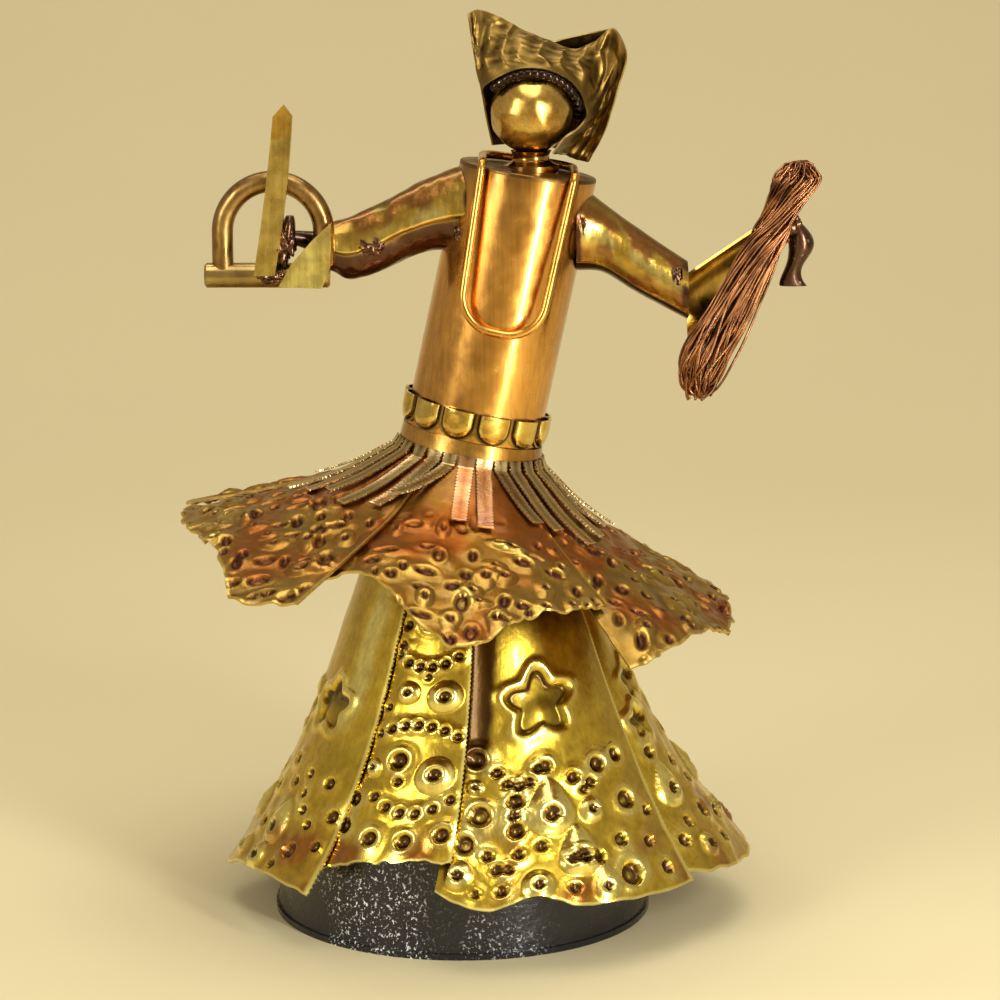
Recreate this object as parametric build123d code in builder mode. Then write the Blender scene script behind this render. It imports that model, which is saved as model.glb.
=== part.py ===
from build123d import *
import os
from math import asin, atan2, cos, degrees, pi, radians, sin, sqrt, tan

# A table figure of a whirling folk dancer, cut and brazed from sheet brass and copper.
# Millimetres, +Z up, the figure faces -Y, +X is on the viewer's right.
# The origin is the centre of the plinth's underside. Angles of the skirts are counted
# from +X towards +Y, so -90 is the front and 180 the viewer's left.

os.makedirs("parts", exist_ok=True)

# ---- gaps -------------------------------------------------------------------------
seat_gap = 0.05       # between two pieces that are brazed face to face
loose_gap = 0.3       # round the loose necklace and between lapped sheets

# ---- plinth and the rod inside the skirt --------------------------------------------
plinth_foot_radius = 62.5
plinth_lip_height = 2.0
plinth_lip_step = 0.8
plinth_top_radius = 58.5
plinth_height = 40.0
plinth_edge_round = 2.0
rod_radius = 4.0
rod_socket_depth = 22.0

# ---- waist block, on which the body and the underskirt stand ------------------------
waist_top = 152.0
flange_height = 3.0
boss_height = 8.0

# ---- body tube ----------------------------------------------------------------------
body_radius = 22.2
body_wall = 1.0
body_lean = 12.0
belt_centre = Vector(4.5, 0, 165)
shoulder_centre_height = 245.0
shoulder_tilt = 8.5
shoulder_x = belt_centre.X + (shoulder_centre_height - belt_centre.Z) * tan(radians(body_lean))
shoulder = Vector(shoulder_x, 0, shoulder_centre_height)
cap_gauge = 1.2

# ---- belt and waist collar ----------------------------------------------------------
belt_height = 9.5
belt_gauge = 0.9
tongue_count = 12
tongue_width = 10.4
tongue_height = 8.6
tongue_rise = 1.3
collar_gauge = 0.8
collar_height = 8.0
collar_flare = 1.6

# ---- underskirt ---------------------------------------------------------------------
skirt_gauge = 0.8
skirt_tilt = 3.0
skirt_apex = Vector(-0.1, 0, 155)
skirt_profile = [(6, 22.1), (51.5, 39.7), (85.6, 53.2), (120, 71.9), (138, 85.3), (146, 91.5)]
seam_swirl = -0.13
swirl_height = 80.0
lap_angle = 3.0
recess_angle = 13.0
recess_top = 2.4
recess_growth = 0.009
gore_crown = 1.6
# Where each gore starts, and how far below the apex its hem is cut, from start to end.
gores = [
    (-195, [136, 138.5, 132.5, 130.5, 132]),
    (-130, [126, 122, 120, 119.2, 120]),
    (-95, [128, 132.5, 130, 133, 135, 135.5, 136.5]),
    (-32, [133, 137, 140, 140, 136]),
    (28, [134, 137, 133, 136, 132]),
    (82, [130, 134, 131, 135, 133]),
    (122, [134, 138, 134, 137, 135]),
]
# Main domes beaten into each gore: share across it, drop below the apex, radius at the foot.
back_domes = [(0.30, 100, 3.4), (0.56, 104, 4.4), (0.82, 100, 3.4), (0.42, 120, 4.6), (0.68, 121, 4.0)]
gore_domes = [
    [(0.63, 116, 5.2), (0.84, 110, 3.2), (0.82, 123, 3.8), (0.44, 127, 4.2),
     (0.26, 117, 5.0), (0.42, 104, 3.0)],
    [(0.76, 72, 5.0), (0.77, 95, 5.6), (0.37, 71, 3.6), (0.43, 91, 3.2),
     (0.32, 112, 3.2), (0.64, 112, 3.2)],
    [(0.44, 106, 5.6), (0.14, 107, 4.0), (0.63, 109, 4.0), (0.82, 109, 4.2),
     (0.13, 123, 4.2), (0.37, 127, 4.6), (0.54, 121, 4.4), (0.73, 128, 4.6)],
    [(0.20, 110, 5.2), (0.37, 122, 3.8), (0.24, 130, 3.6), (0.66, 112, 5.2),
     (0.84, 111, 3.8), (0.74, 131, 3.8)],
    back_domes, back_domes, back_domes,
]
# Five-petalled flowers: share across the gore, drop below the apex, reach of a petal's tip.
back_flowers = [(0.5, 78, 10.5)]
gore_flowers = [[(0.61, 79, 9.5)], [], [(0.45, 76, 12.0)], [(0.34, 79, 7.5), (0.66, 84, 9.0)],
                back_flowers, back_flowers, back_flowers]
dome_rise = 0.32          # height of a dome, as a share of its radius
petal_radius = 0.30       # radius of a petal, as a share of the flower's reach
dome_sink = skirt_gauge / 2
flare_stretch = 1.16      # length down the flared sheet for each unit of drop

# ---- overskirt ----------------------------------------------------------------------
over_gauge = 0.8
over_lean = 9.5
over_centre = Vector(4.0, 0, 162)
# How far the overskirt stands out from the body tube, and how far it has dropped there.
over_fall = [(1.7, 9.4), (7.8, 14.5), (15.8, 21), (23.8, 26), (37.8, 32.5), (52.8, 39), (67.8, 45.5),
             (83.8, 52.4)]
over_profile = [(body_radius + out, drop) for out, drop in over_fall]
over_recess_top = 1.7
over_recess_growth = 0.045
over_recess_angle = 14.0
ripple_height = 2.2
ripple_count = 9
# Where each panel starts, and the radius to which its hem is cut, from start to end.
panels = [
    (-193, [91, 89.5, 88, 88, 91, 101, 98]),
    (-121, [77, 76, 81, 93, 98, 86, 81, 78, 75]),
    (-52, [95, 95, 93, 95, 94, 92, 90]),
    (18, [90, 95, 89, 96, 91, 97, 90]),
    (92, [92, 98, 91, 95, 89, 94, 91]),
]

# ---- straps: angle at the waist, angle at the end, radius of the end, lift at the end --
strap_width = 5.0
strap_gauge = 0.6
strap_start_out = 1.7       # how far the straps start beyond the overskirt's top edge
straps = [
    (-173, -177, 57, 0.5), (-160, -166, 52, 0.5), (-147, -155, 48, 0.8), (-131, -141, 50, 0.8),
    (-117, -128, 45.4, 0.6), (-105, -121, 42, 3.6), (-92, -91, 44.5, 1.2), (-79, -80, 46, 1.2),
    (-66, -54, 42, 0.8), (-53, -45, 45, 0.8), (-39, -34, 52, 0.8), (-24, -21, 50, 0.8),
    (-9, -5, 48, 0.8), (8, 12, 52, 0.8), (26, 28, 46, 0.8), (44, 47, 51, 0.8), (62, 63, 47, 0.8),
    (80, 79, 50, 0.8), (98, 99, 46, 0.8), (116, 118, 52, 0.8), (134, 137, 48, 0.8), (153, 156, 53, 0.8),
]

# ---- neck, head and headscarf -------------------------------------------------------
head_centre = shoulder + Vector(1.0, 0, 19.4)
head_radius = 13.5
neck_base_radius = 9.0
neck_waist_radius = 5.9
neck_cup_radius = 6.6
neck_cup_depth = 12.4
band_wire_radius = 1.6
band_tilt = 32.0
band_start = -54.0
band_end = 98.0
scarf_gauge = 0.6

# ---- necklace -----------------------------------------------------------------------
wire_radius = 1.35
necklace_left = -15.2
necklace_right = 14.6
necklace_back = 12.6
necklace_drop = 50.0
necklace_bottom_left = -12.2
necklace_bottom_right = 13.6
necklace_stand_off = 0.4
necklace_bottom_round = 11.8
necklace_shoulder_round = 3.2
necklace_back_round = 8.0

# ---- viewer's left arm --------------------------------------------------------------
sleeve_gauge = 0.8
# Sleeve sections: X, Y and height of the centre, counted from the shoulder, then height and depth.
left_sleeve_sections = [(-18.5, -2, -12.0, 31, 24), (-33.5, -3.5, -14.8, 25.3, 20),
                        (-54.5, -7, -23.7, 22.8, 17), (-63.5, -9.2, -23.4, 16.5, 14.2)]
right_sleeve_sections = [(15.5, -2, -18.0, 31, 24), (24.5, -3, -21.6, 24.4, 20),
                         (36.5, -4.5, -29.4, 22.6, 19), (51.5, -6, -38.1, 20.2, 18)]
forearm_start = shoulder + Vector(-57.5, -8.6, -23.5)
forearm_start_radius = 5.0
forearm_tip = shoulder + Vector(-75.1, -17.0, -19.0)
forearm_tip_radius = 2.2

# ---- the D-shaped frame and the stick -------------------------------------------------
frame_depth = -20.0
bow_radius = 16.1
bow_rod_radius = 3.4
bow_centre_x = shoulder.X - 81.1
bar_radius = 4.0
bar_height = shoulder.Z - 30.8
bow_spring_height = bar_height + 13.8
bar_left_x = bow_centre_x - 21.9
bar_right_x = bow_centre_x + 18.0
plate_gauge = 1.6
stick_width = 6.7
stick_thickness = 4.4
stick_line = [(bow_centre_x - 2.5, bar_height + 0.8), (bow_centre_x + 1.3, bar_height + 25.8),
              (bow_centre_x + 4.2, bar_height + 51.0)]
stick_point_length = 3.6

# ---- viewer's right arm and the whisk -------------------------------------------------
forearm_gauge = 0.8
elbow_point = shoulder + Vector(47.0, -6.0, -46.5)
wrist_point = shoulder + Vector(82.5, -12.0, -15.5)
elbow_half_width = 8.6
wrist_half_width = 4.2
mitre_x = shoulder.X + 51.8
# Sections of the hand and the whisk: X and height of the centre, counted from the shoulder,
# then half width and half depth.
hand_depth = -12.0
hand_sections = [(85.1, -14, 1.4, 1.4), (86.9, -18, 3.3, 3.6), (87.3, -23.5, 3.9, 4),
                 (85.5, -28.4, 2.8, 3), (84.5, -32, 3.2, 2.6), (85.1, -35.2, 4.4, 2.2)]
whisk_depth = -17.0
whisk_sections = [(86.1, 4.6, 4.6, 3.2), (84.9, -0.4, 8, 5.4), (80.5, -10.8, 5.6, 4.4),
                  (74.9, -22, 7, 5), (66.5, -40, 8.2, 5.6), (58.1, -56.4, 9.2, 5.8),
                  (54.9, -66.6, 6.4, 4.4), (54.5, -70.8, 3.4, 2.6)]



def save(part, name):
    part.label = name
    export_step(part, f"parts/{name}.step")


def along(values, fraction):
    """A value read from an evenly spaced list, at a fraction of its length."""
    place = min(max(fraction, 0), 1) * (len(values) - 1)
    index = min(int(place), len(values) - 2)
    return values[index] + (values[index + 1] - values[index]) * (place - index)


def on_profile(profile, place):
    """Straight interpolation in a list of (place, value) pairs."""
    for (a, low), (b, high) in zip(profile, profile[1:]):
        if place <= b:
            break
    return low + (high - low) * (place - a) / (b - a)


def sheet(rows, gauge):
    """A closed sheet of even gauge, half of it on each side of a smooth surface through rows of points."""
    last_row, last_column = len(rows) - 1, len(rows[0]) - 1

    def normal(i, j):
        down = rows[min(i + 1, last_row)][j] - rows[max(i - 1, 0)][j]
        across = rows[i][min(j + 1, last_column)] - rows[i][max(j - 1, 0)]
        return down.cross(across).normalized()

    skins = []
    for side in (-gauge / 2, gauge / 2):
        points = [[p + normal(i, j) * side for j, p in enumerate(row)] for i, row in enumerate(rows)]
        skins.append(Face.make_surface_from_array_of_points(points))
    rims = []
    for edge in skins[0].edges():
        facing = skins[1].edges().sort_by_distance(edge.center())[0]
        rims.append(Face.make_surface_from_curves(edge, facing))
    with BuildPart() as made:
        add(Solid(Shell(skins + rims)))
    return made.part


def spread(start, stop, count):
    return [start + (stop - start) * i / (count - 1) for i in range(count)]


# ---- plinth and rod -----------------------------------------------------------------
with BuildPart() as plinth:
    with BuildSketch():
        Circle(plinth_foot_radius)
    extrude(amount=plinth_lip_height)
    body_foot_radius = plinth_foot_radius - plinth_lip_step
    body_rise = plinth_height - plinth_lip_height
    with BuildSketch(Plane.XY.offset(plinth_lip_height)):
        Circle(body_foot_radius)
    extrude(amount=body_rise, taper=degrees(atan2(body_foot_radius - plinth_top_radius, body_rise)))
    fillet(plinth.edges().group_by(Axis.Z)[-1], plinth_edge_round)
    with Locations((0, 0, plinth_height)):
        Hole(rod_radius + seat_gap, depth=rod_socket_depth)
save(plinth.part, "base_plinth")

with BuildPart() as rod:
    with BuildSketch(Plane.XY.offset(plinth_height - rod_socket_depth)):
        Circle(rod_radius)
    extrude(amount=waist_top - plinth_height + rod_socket_depth)
    chamfer(rod.edges().filter_by(GeomType.CIRCLE), rod_radius / 8)
save(rod.part, "support_rod")

# ---- waist block --------------------------------------------------------------------
body_axis = Vector(sin(radians(body_lean)), 0, cos(radians(body_lean)))
body_foot = belt_centre - body_axis * ((belt_centre.Z - waist_top) / body_axis.Z)
skirt_down = Vector(sin(radians(skirt_tilt)), 0, -cos(radians(skirt_tilt)))
flange_foot = waist_top - flange_height
skirt_top_drop = skirt_apex.Z - flange_foot + body_radius * sin(radians(skirt_tilt)) + skirt_gauge
skirt_top_radius = on_profile(skirt_profile, skirt_top_drop)
boss_radius = skirt_top_radius - recess_top - skirt_gauge / 2 - loose_gap
boss_centre = skirt_apex + skirt_down * skirt_top_drop

with BuildPart() as waist_block:
    with BuildSketch(Plane.XY.offset(flange_foot)):
        with Locations((body_foot.X, 0)):
            Circle(body_radius)
    extrude(amount=flange_height)
    with BuildSketch(Plane.XY.offset(flange_foot)):
        with Locations((boss_centre.X, 0)):
            Circle(boss_radius)
    extrude(amount=-boss_height)
    with Locations((0, 0, waist_top)):
        Hole(rod_radius + seat_gap)
save(waist_block.part, "waist_block")

# ---- body tube and shoulder cap -----------------------------------------------------
body_plane = Plane(origin=belt_centre, x_dir=(body_axis.Z, 0, -body_axis.X), z_dir=body_axis)
shoulder_axis = Vector(sin(radians(shoulder_tilt)), 0, cos(radians(shoulder_tilt)))
shoulder_plane = Plane(origin=shoulder, x_dir=(shoulder_axis.Z, 0, -shoulder_axis.X), z_dir=shoulder_axis)
body_below = belt_centre.Z - waist_top + body_radius
body_above = shoulder_centre_height - belt_centre.Z + body_radius


def body_cylinder(radius):
    """The leaning cylinder of the body, from the waist block to the shoulders."""
    with BuildPart() as made:
        with BuildSketch(body_plane.offset(-body_below)):
            Circle(radius)
        extrude(amount=body_below + body_above)
        split(bisect_by=Plane.XY.offset(waist_top), keep=Keep.TOP)
        split(bisect_by=shoulder_plane, keep=Keep.BOTTOM)
    return made.part


with BuildPart() as torso:
    add(body_cylinder(body_radius))
    add(body_cylinder(body_radius - body_wall), mode=Mode.SUBTRACT)
save(torso.part, "torso_tube")

with BuildPart() as cap:
    with BuildSketch(shoulder_plane):
        Circle(body_radius)
    extrude(amount=cap_gauge)
    fillet(cap.edges().group_by(SortBy.LENGTH)[-1].sort_by(Axis.Z)[-1:], cap_gauge / 2)
save(cap.part, "shoulder_cap")

# ---- belt with its tongues, and the waist collar ------------------------------------
belt_inner = body_radius + seat_gap
belt_outer = belt_inner + belt_gauge
with BuildPart() as belt:
    with BuildSketch(body_plane.offset(-belt_height / 2)):
        Circle(belt_outer)
        Circle(belt_inner, mode=Mode.SUBTRACT)
    extrude(amount=belt_height)
    for i in range(tongue_count):
        turn = 2 * pi * (i + 0.5) / tongue_count
        out = body_plane.x_dir * cos(turn) + body_plane.y_dir * sin(turn)
        tongue_plane = Plane(origin=belt_centre + out * belt_outer, x_dir=body_axis, z_dir=out)
        with BuildSketch(tongue_plane.offset(-belt_gauge / 2)):
            with Locations((tongue_width / 2 - tongue_height / 2, 0)):
                Circle(tongue_width / 2)
                Rectangle(tongue_height - tongue_width / 2, tongue_width, align=(Align.MIN, Align.CENTER))
            with Locations((tongue_height / 2, 0)):
                Rectangle(tongue_width, tongue_width, align=(Align.MIN, Align.CENTER), mode=Mode.SUBTRACT)
        extrude(amount=belt_gauge / 2 + tongue_rise)
    add(body_cylinder(belt_inner), mode=Mode.SUBTRACT)
save(belt.part, "waist_belt")

over_axis = Vector(sin(radians(over_lean)), 0, cos(radians(over_lean)))
over_plane = Plane(origin=over_centre, x_dir=(over_axis.Z, 0, -over_axis.X), z_dir=over_axis)
over_top_radius, over_top_drop = over_profile[0]
collar_foot_radius = over_top_radius - seat_gap
with BuildPart() as collar:
    with BuildSketch(over_plane.offset(-over_top_drop)):
        Circle(collar_foot_radius)
    with BuildSketch(over_plane.offset(collar_height - over_top_drop)):
        Circle(collar_foot_radius - collar_flare + collar_gauge)
    loft()
    with BuildSketch(over_plane.offset(-over_top_drop)):
        Circle(collar_foot_radius - collar_gauge)
    with BuildSketch(over_plane.offset(collar_height - over_top_drop)):
        Circle(collar_foot_radius - collar_flare)
    loft(mode=Mode.SUBTRACT)
    with BuildSketch(body_plane.offset(-belt_height / 2 - tongue_height)):
        Circle(body_radius + seat_gap)
    extrude(amount=2 * belt_height + tongue_height, mode=Mode.SUBTRACT)
    with BuildSketch(body_plane.offset(-belt_height / 2 - seat_gap)):
        Circle(body_radius * 2)
    extrude(amount=2 * belt_height, mode=Mode.SUBTRACT)
save(collar.part, "waist_collar")

# ---- underskirt gores ---------------------------------------------------------------
skirt_plane = Plane(origin=skirt_apex, x_dir=(cos(radians(skirt_tilt)), 0, sin(radians(skirt_tilt))),
                    z_dir=-skirt_down)


def gore_point(start, width, hem, across, drop):
    """A point of one gore: across it from its tucked edge to its lapping edge, and down it."""
    down = (drop - skirt_top_drop) / (along(hem, across) - skirt_top_drop)
    tuck = max(0, 1 - width * across / recess_angle) ** 2
    recess = (recess_top + recess_growth * (drop - skirt_top_drop)) * tuck
    crown = gore_crown * down * sin(pi * across)
    radius = on_profile(skirt_profile, drop) - recess + crown
    angle = radians(start + width * across + seam_swirl * (drop - swirl_height))
    return skirt_plane.from_local_coords(Vector(radius * cos(angle), radius * sin(angle), -drop))


def gore_rows(start, width, hem):
    rows = []
    for down in spread(0, 1, 7):
        row = []
        for across in spread(0, 1, 13):
            drop = skirt_top_drop + (along(hem, across) - skirt_top_drop) * down
            row.append(gore_point(start, width, hem, across, drop))
        rows.append(row)
    return rows


def petals(width, across, drop, reach):
    """The five domes of a flower, one of them pointing up the gore."""
    ring = reach * (1 - petal_radius)
    gore_radius = on_profile(skirt_profile, drop)
    domes = []
    for i in range(5):
        turn = radians(72 * i - 90)
        shift = ring * cos(turn) / (radians(width) * gore_radius)
        domes.append((across + shift, drop + ring * sin(turn) / flare_stretch, reach * petal_radius))
    return domes


def dome(radius):
    """The top of a ball, as wide as a dome's foot and sunk a little below it."""
    rise = radius * dome_rise
    ball_radius = (radius ** 2 + rise ** 2) / (2 * rise)
    latitude = degrees(asin(1 - (rise + dome_sink) / ball_radius))
    cap = Sphere(ball_radius, arc_size1=latitude, align=None, mode=Mode.PRIVATE)
    return cap.moved(Location((0, 0, rise - ball_radius)))


def raised_gore(start, width, hem, domes):
    """A gore with its domes standing square on its outer face."""
    plain = sheet(gore_rows(start, width, hem), skirt_gauge)
    middle = gore_point(start, width, hem, 0.5, swirl_height)
    far_out = middle + (middle - skirt_apex - skirt_down * swirl_height).normalized() * swirl_height
    outer = plain.faces().sort_by_distance(far_out)[0]
    with BuildPart() as made:
        add(plain)
        for across, drop, radius in domes:
            spot = gore_point(start, width, hem, across, drop)
            on_face = outer.closest_points(spot)[0]
            facing = outer.normal_at(on_face)
            if facing.dot(far_out - middle) < 0:
                facing = -facing
            add(Plane(origin=on_face, z_dir=facing) * dome(radius))
    return made.part


gore_starts = [start for start, hem in gores] + [gores[0][0] + 360]
for i, (start, hem) in enumerate(gores):
    width = gore_starts[i + 1] + lap_angle - start
    domes = list(gore_domes[i])
    for flower in gore_flowers[i]:
        domes += petals(width, *flower)
    save(raised_gore(start, width, hem, domes), f"underskirt_gore_{i + 1}")

# ---- overskirt panels ---------------------------------------------------------------


def over_drop(radius, turn):
    """How far below the waist the overskirt lies, with ripples that grow towards the hem."""
    growth = (radius / over_profile[-1][0]) ** 3
    return on_profile(over_profile, radius) + ripple_height * growth * cos(radians(turn * ripple_count + 95))


def panel_rows(start, end, hem):
    """Points of one overskirt panel, from the waist to the hem and across it."""
    width = end + lap_angle - start
    rows = []
    for out in spread(0, 1, 8):
        row = []
        for across in spread(0, 1, 15):
            radius = over_top_radius + seat_gap + (along(hem, across) - over_top_radius) * out
            turn = start + width * across
            tuck = max(0, 1 - width * across / over_recess_angle) ** 2
            recess = (over_recess_top + over_recess_growth * (radius - over_top_radius)) * tuck
            angle = radians(turn)
            drop = over_drop(radius, turn) + recess
            row.append(over_plane.from_local_coords(Vector(radius * cos(angle), radius * sin(angle), -drop)))
        rows.append(row)
    return rows


panel_starts = [start for start, hem in panels] + [panels[0][0] + 360]
for i, (start, hem) in enumerate(panels):
    save(sheet(panel_rows(start, panel_starts[i + 1], hem), over_gauge), f"overskirt_panel_{i + 1}")

# ---- straps -------------------------------------------------------------------------
strap_start_radius = over_top_radius + strap_start_out


def strap_rows(waist_angle, end_angle, reach, lift):
    """Points of one flat strap that lies on the overskirt from the collar outwards."""
    rows = []
    clear = (over_gauge + strap_gauge) / 2 + loose_gap + seat_gap
    for out in spread(0, 1, 6):
        radius = strap_start_radius + (reach - strap_start_radius) * out
        turn = waist_angle + (end_angle - waist_angle) * out
        rise = clear / cos(radians(35)) + lift * out ** 1.5
        side = degrees(strap_width / 2 / radius)
        height = rise - over_drop(radius, turn)
        row = []
        for edge in (-1, 0, 1):
            angle = radians(turn + side * edge)
            row.append(over_plane.from_local_coords(Vector(radius * cos(angle), radius * sin(angle), height)))
        rows.append(row)
    return rows


for i, (waist_angle, end_angle, reach, lift) in enumerate(straps):
    save(sheet(strap_rows(waist_angle, end_angle, reach, lift), strap_gauge), f"strap_{i + 1:02d}")

# ---- neck and head ------------------------------------------------------------------
# Heights of the neck are counted from the head's centre, in a profile plane through its axis.
profile_plane = Plane(origin=head_centre, x_dir=(1, 0, 0), z_dir=(0, -1, 0))
head_axis = Axis(head_centre, (0, 0, 1))
collar_rise = shoulder_centre_height + cap_gauge - head_centre.Z
neck_foot = collar_rise - neck_base_radius
neck_mid = collar_rise + (-neck_cup_depth - collar_rise) * 0.6
with BuildPart() as neck:
    with BuildSketch(profile_plane):
        with BuildLine():
            Polyline((0, -neck_cup_depth), (0, neck_foot), (neck_base_radius, neck_foot),
                     (neck_base_radius, collar_rise + cap_gauge))
            Spline((neck_base_radius, collar_rise + cap_gauge), (neck_waist_radius, neck_mid),
                   (neck_cup_radius, -neck_cup_depth))
            Line((neck_cup_radius, -neck_cup_depth), (0, -neck_cup_depth))
        make_face()
    revolve(axis=head_axis)
    split(bisect_by=shoulder_plane.offset(cap_gauge), keep=Keep.TOP)
save(neck.part, "neck_ferrule")

chin_turn = radians(38)
with BuildPart() as head:
    with BuildSketch(profile_plane):
        with BuildLine():
            ThreePointArc((0, head_radius), (head_radius, 0),
                          (head_radius * cos(chin_turn), -head_radius * sin(chin_turn)))
            Polyline((head_radius * cos(chin_turn), -head_radius * sin(chin_turn)),
                     (neck_cup_radius, -neck_cup_depth), (0, -neck_cup_depth), (0, head_radius))
        make_face()
    revolve(axis=head_axis)
save(head.part, "head_ball")

# ---- headband -----------------------------------------------------------------------
band_reach = head_radius + band_wire_radius + seat_gap
band_up = Vector(0, -sin(radians(band_tilt)), cos(radians(band_tilt)))


def round_head(turn, reach):
    """A point on a ring round the head, in the headband's tilted plane."""
    return head_centre + Vector(1, 0, 0) * reach * sin(radians(turn)) + band_up * reach * cos(radians(turn))


with BuildPart() as headband:
    with BuildLine() as band_path:
        ThreePointArc(round_head(band_start, band_reach), round_head((band_start + band_end) / 2, band_reach),
                      round_head(band_end, band_reach))
    with BuildSketch(Plane(origin=band_path.line @ 0, z_dir=band_path.line % 0)):
        Circle(band_wire_radius)
    sweep()
save(headband.part, "headband")

# ---- headscarf: a front sheet over the brow and a back sheet behind the head ----------
rim_reach = band_reach + band_wire_radius + loose_gap + scarf_gauge / 2


def rim(turn):
    return round_head(turn, rim_reach) - head_centre


def scarf_point(offset):
    return head_centre + Vector(*offset)


# Each line runs from the inner edge of the front sheet, through its fold, to its outer edge.
front_lines = [
    ((-14.6, 2.0, 2.0), (-17.0, 2.6, 12.5), (-18.9, 3.2, 22.0), (-20.4, 3.5, 31.2)),
    ((-15.6, -2.6, 7.4), (-16.8, -0.6, 15.5), (-16.6, 2.0, 23.6), (-16.4, 3.5, 32.4)),
    (rim(-42), (-12.0, -4.4, 18.0), (-10.6, -0.6, 23.8), (-9.2, 3.5, 29.6)),
    (rim(-14), (-4.0, -6.4, 18.0), (-3.2, -2.0, 22.0), (-2.4, 3.5, 25.8)),
    (rim(14), (4.4, -6.2, 17.0), (5.2, -2.0, 19.8), (6.0, 3.5, 22.4)),
    (rim(40), (11.8, -3.8, 15.6), (12.6, -0.4, 17.6), (13.4, 3.5, 19.6)),
    (rim(62), (17.4, -1.4, 12.6), (18.8, 1.6, 17.4), (20.0, 3.5, 22.0)),
    (rim(80), (20.6, 3.0, 8.0), (23.4, 5.0, 17.0), (26.4, 3.5, 26.4)),
    ((17.9, -2.0, -1.0), (22.4, 6.4, 4.0), (26.8, 6.6, 12.0), (30.6, 2.5, 18.0)),
    ((15.0, -7.0, -4.6), (21.0, 7.6, -1.6), (24.6, 8.4, 2.0), (27.8, 4.5, 6.4)),
    ((10.4, -9.8, -7.6), (16.4, 9.2, -8.0), (20.6, 10.6, -7.8), (23.8, 8.5, -7.4)),
    ((6.8, -8.8, -12.6), (11.0, 11.0, -14.8), (15.0, 12.8, -16.6), (19.0, 12.6, -17.2)),
]
save(sheet([[scarf_point(p) for p in line] for line in front_lines], scarf_gauge), "scarf_front")

# Each line runs from the left edge, round behind the head, to the right edge.
back_gap = scarf_gauge + 3 * loose_gap
back_lines = [
    ((-20.2, 3.5, 31.0), (6.0, 3.5, 22.0), (26.4, 3.5, 26.4), 1.5),
    ((-18.4, 3.2, 18.5), (6.0, 3.5, 14.6), (29.0, 4.5, 16.0), 9.0),
    ((-16.0, 2.4, 7.0), (6.0, 3.5, 4.8), (27.4, 7.0, 5.0), 13.8),
    ((-14.4, 1.8, -2.0), (5.0, 4.0, -4.0), (24.6, 9.5, -5.0), 14.0),
    ((-12.4, 1.6, -11.0), (4.0, 6.0, -12.4), (18.8, 14.2, -17.0), 11.5),
]


def back_row(left, middle, right, bulge):
    row = []
    for across in spread(0, 1, 9):
        if across < 0.5:
            a, b, part_way = left, middle, across * 2
        else:
            a, b, part_way = middle, right, across * 2 - 1
        x, y, z = (p + (q - p) * part_way for p, q in zip(a, b))
        row.append(scarf_point((x, y + back_gap + bulge * sin(pi * across) ** 0.7, z)))
    return row


save(sheet([back_row(*line) for line in back_lines], scarf_gauge), "scarf_back")

# ---- necklace -----------------------------------------------------------------------
wire_rise = cap_gauge + wire_radius + loose_gap
clear_radius = body_radius + wire_radius + loose_gap


def over_shoulder(across):
    """The corner of the wire where it bends over the shoulder's edge."""
    depth = sqrt(clear_radius ** 2 - across ** 2)
    return shoulder_plane.from_local_coords(Vector(across, -depth - necklace_stand_off, wire_rise))


def on_chest(across):
    """A corner of the wire's lowest stretch, in front of the chest."""
    height = (shoulder_centre_height - belt_centre.Z) / body_axis.Z - necklace_drop
    return body_plane.from_local_coords(Vector(across, -clear_radius - necklace_stand_off, height))


def behind_neck(across):
    return shoulder_plane.from_local_coords(Vector(across, necklace_back, wire_rise))


with BuildPart() as necklace:
    with BuildLine() as necklace_path:
        FilletPolyline(
            behind_neck(-loose_gap), behind_neck(necklace_left), over_shoulder(necklace_left),
            on_chest(necklace_bottom_left), on_chest(necklace_bottom_right),
            over_shoulder(necklace_right), behind_neck(necklace_right), behind_neck(loose_gap),
            radius=[necklace_back_round, necklace_shoulder_round, necklace_bottom_round,
                    necklace_bottom_round, necklace_shoulder_round, necklace_back_round],
        )
    with BuildSketch(Plane(origin=necklace_path.line @ 0, z_dir=necklace_path.line % 0)):
        Circle(wire_radius)
    sweep()
save(necklace.part, "necklace")

# ---- sleeves ------------------------------------------------------------------------


def sleeve_form(sections, shrink):
    with BuildPart() as made:
        for x, y, height, tall, deep in sections:
            with BuildSketch(Plane.YZ.offset(shoulder.X + x)):
                with Locations((y, shoulder.Z + height)):
                    Ellipse(deep / 2 - shrink, tall / 2 - shrink)
        loft()
    return made.part


def sleeve(sections):
    with BuildPart() as made:
        add(sleeve_form(sections, 0))
        add(sleeve_form(sections, sleeve_gauge), mode=Mode.SUBTRACT)
        with BuildSketch(body_plane.offset(-body_below)):
            Circle(body_radius + seat_gap)
        extrude(amount=body_below + body_above, mode=Mode.SUBTRACT)
    return made.part


left_sleeve = sleeve(left_sleeve_sections)
save(left_sleeve, "left_sleeve")
save(sleeve(right_sleeve_sections), "right_sleeve")

# ---- the D-shaped frame ---------------------------------------------------------------
frame_plane = Plane.XZ.offset(-frame_depth)

with BuildPart() as bar:
    with BuildSketch(Plane(origin=(bar_left_x, frame_depth, bar_height), z_dir=(1, 0, 0))):
        Circle(bar_radius)
    extrude(amount=bar_right_x - bar_left_x)
    chamfer(bar.edges().filter_by(GeomType.CIRCLE), bar_radius / 6)
save(bar.part, "frame_bar")

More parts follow.
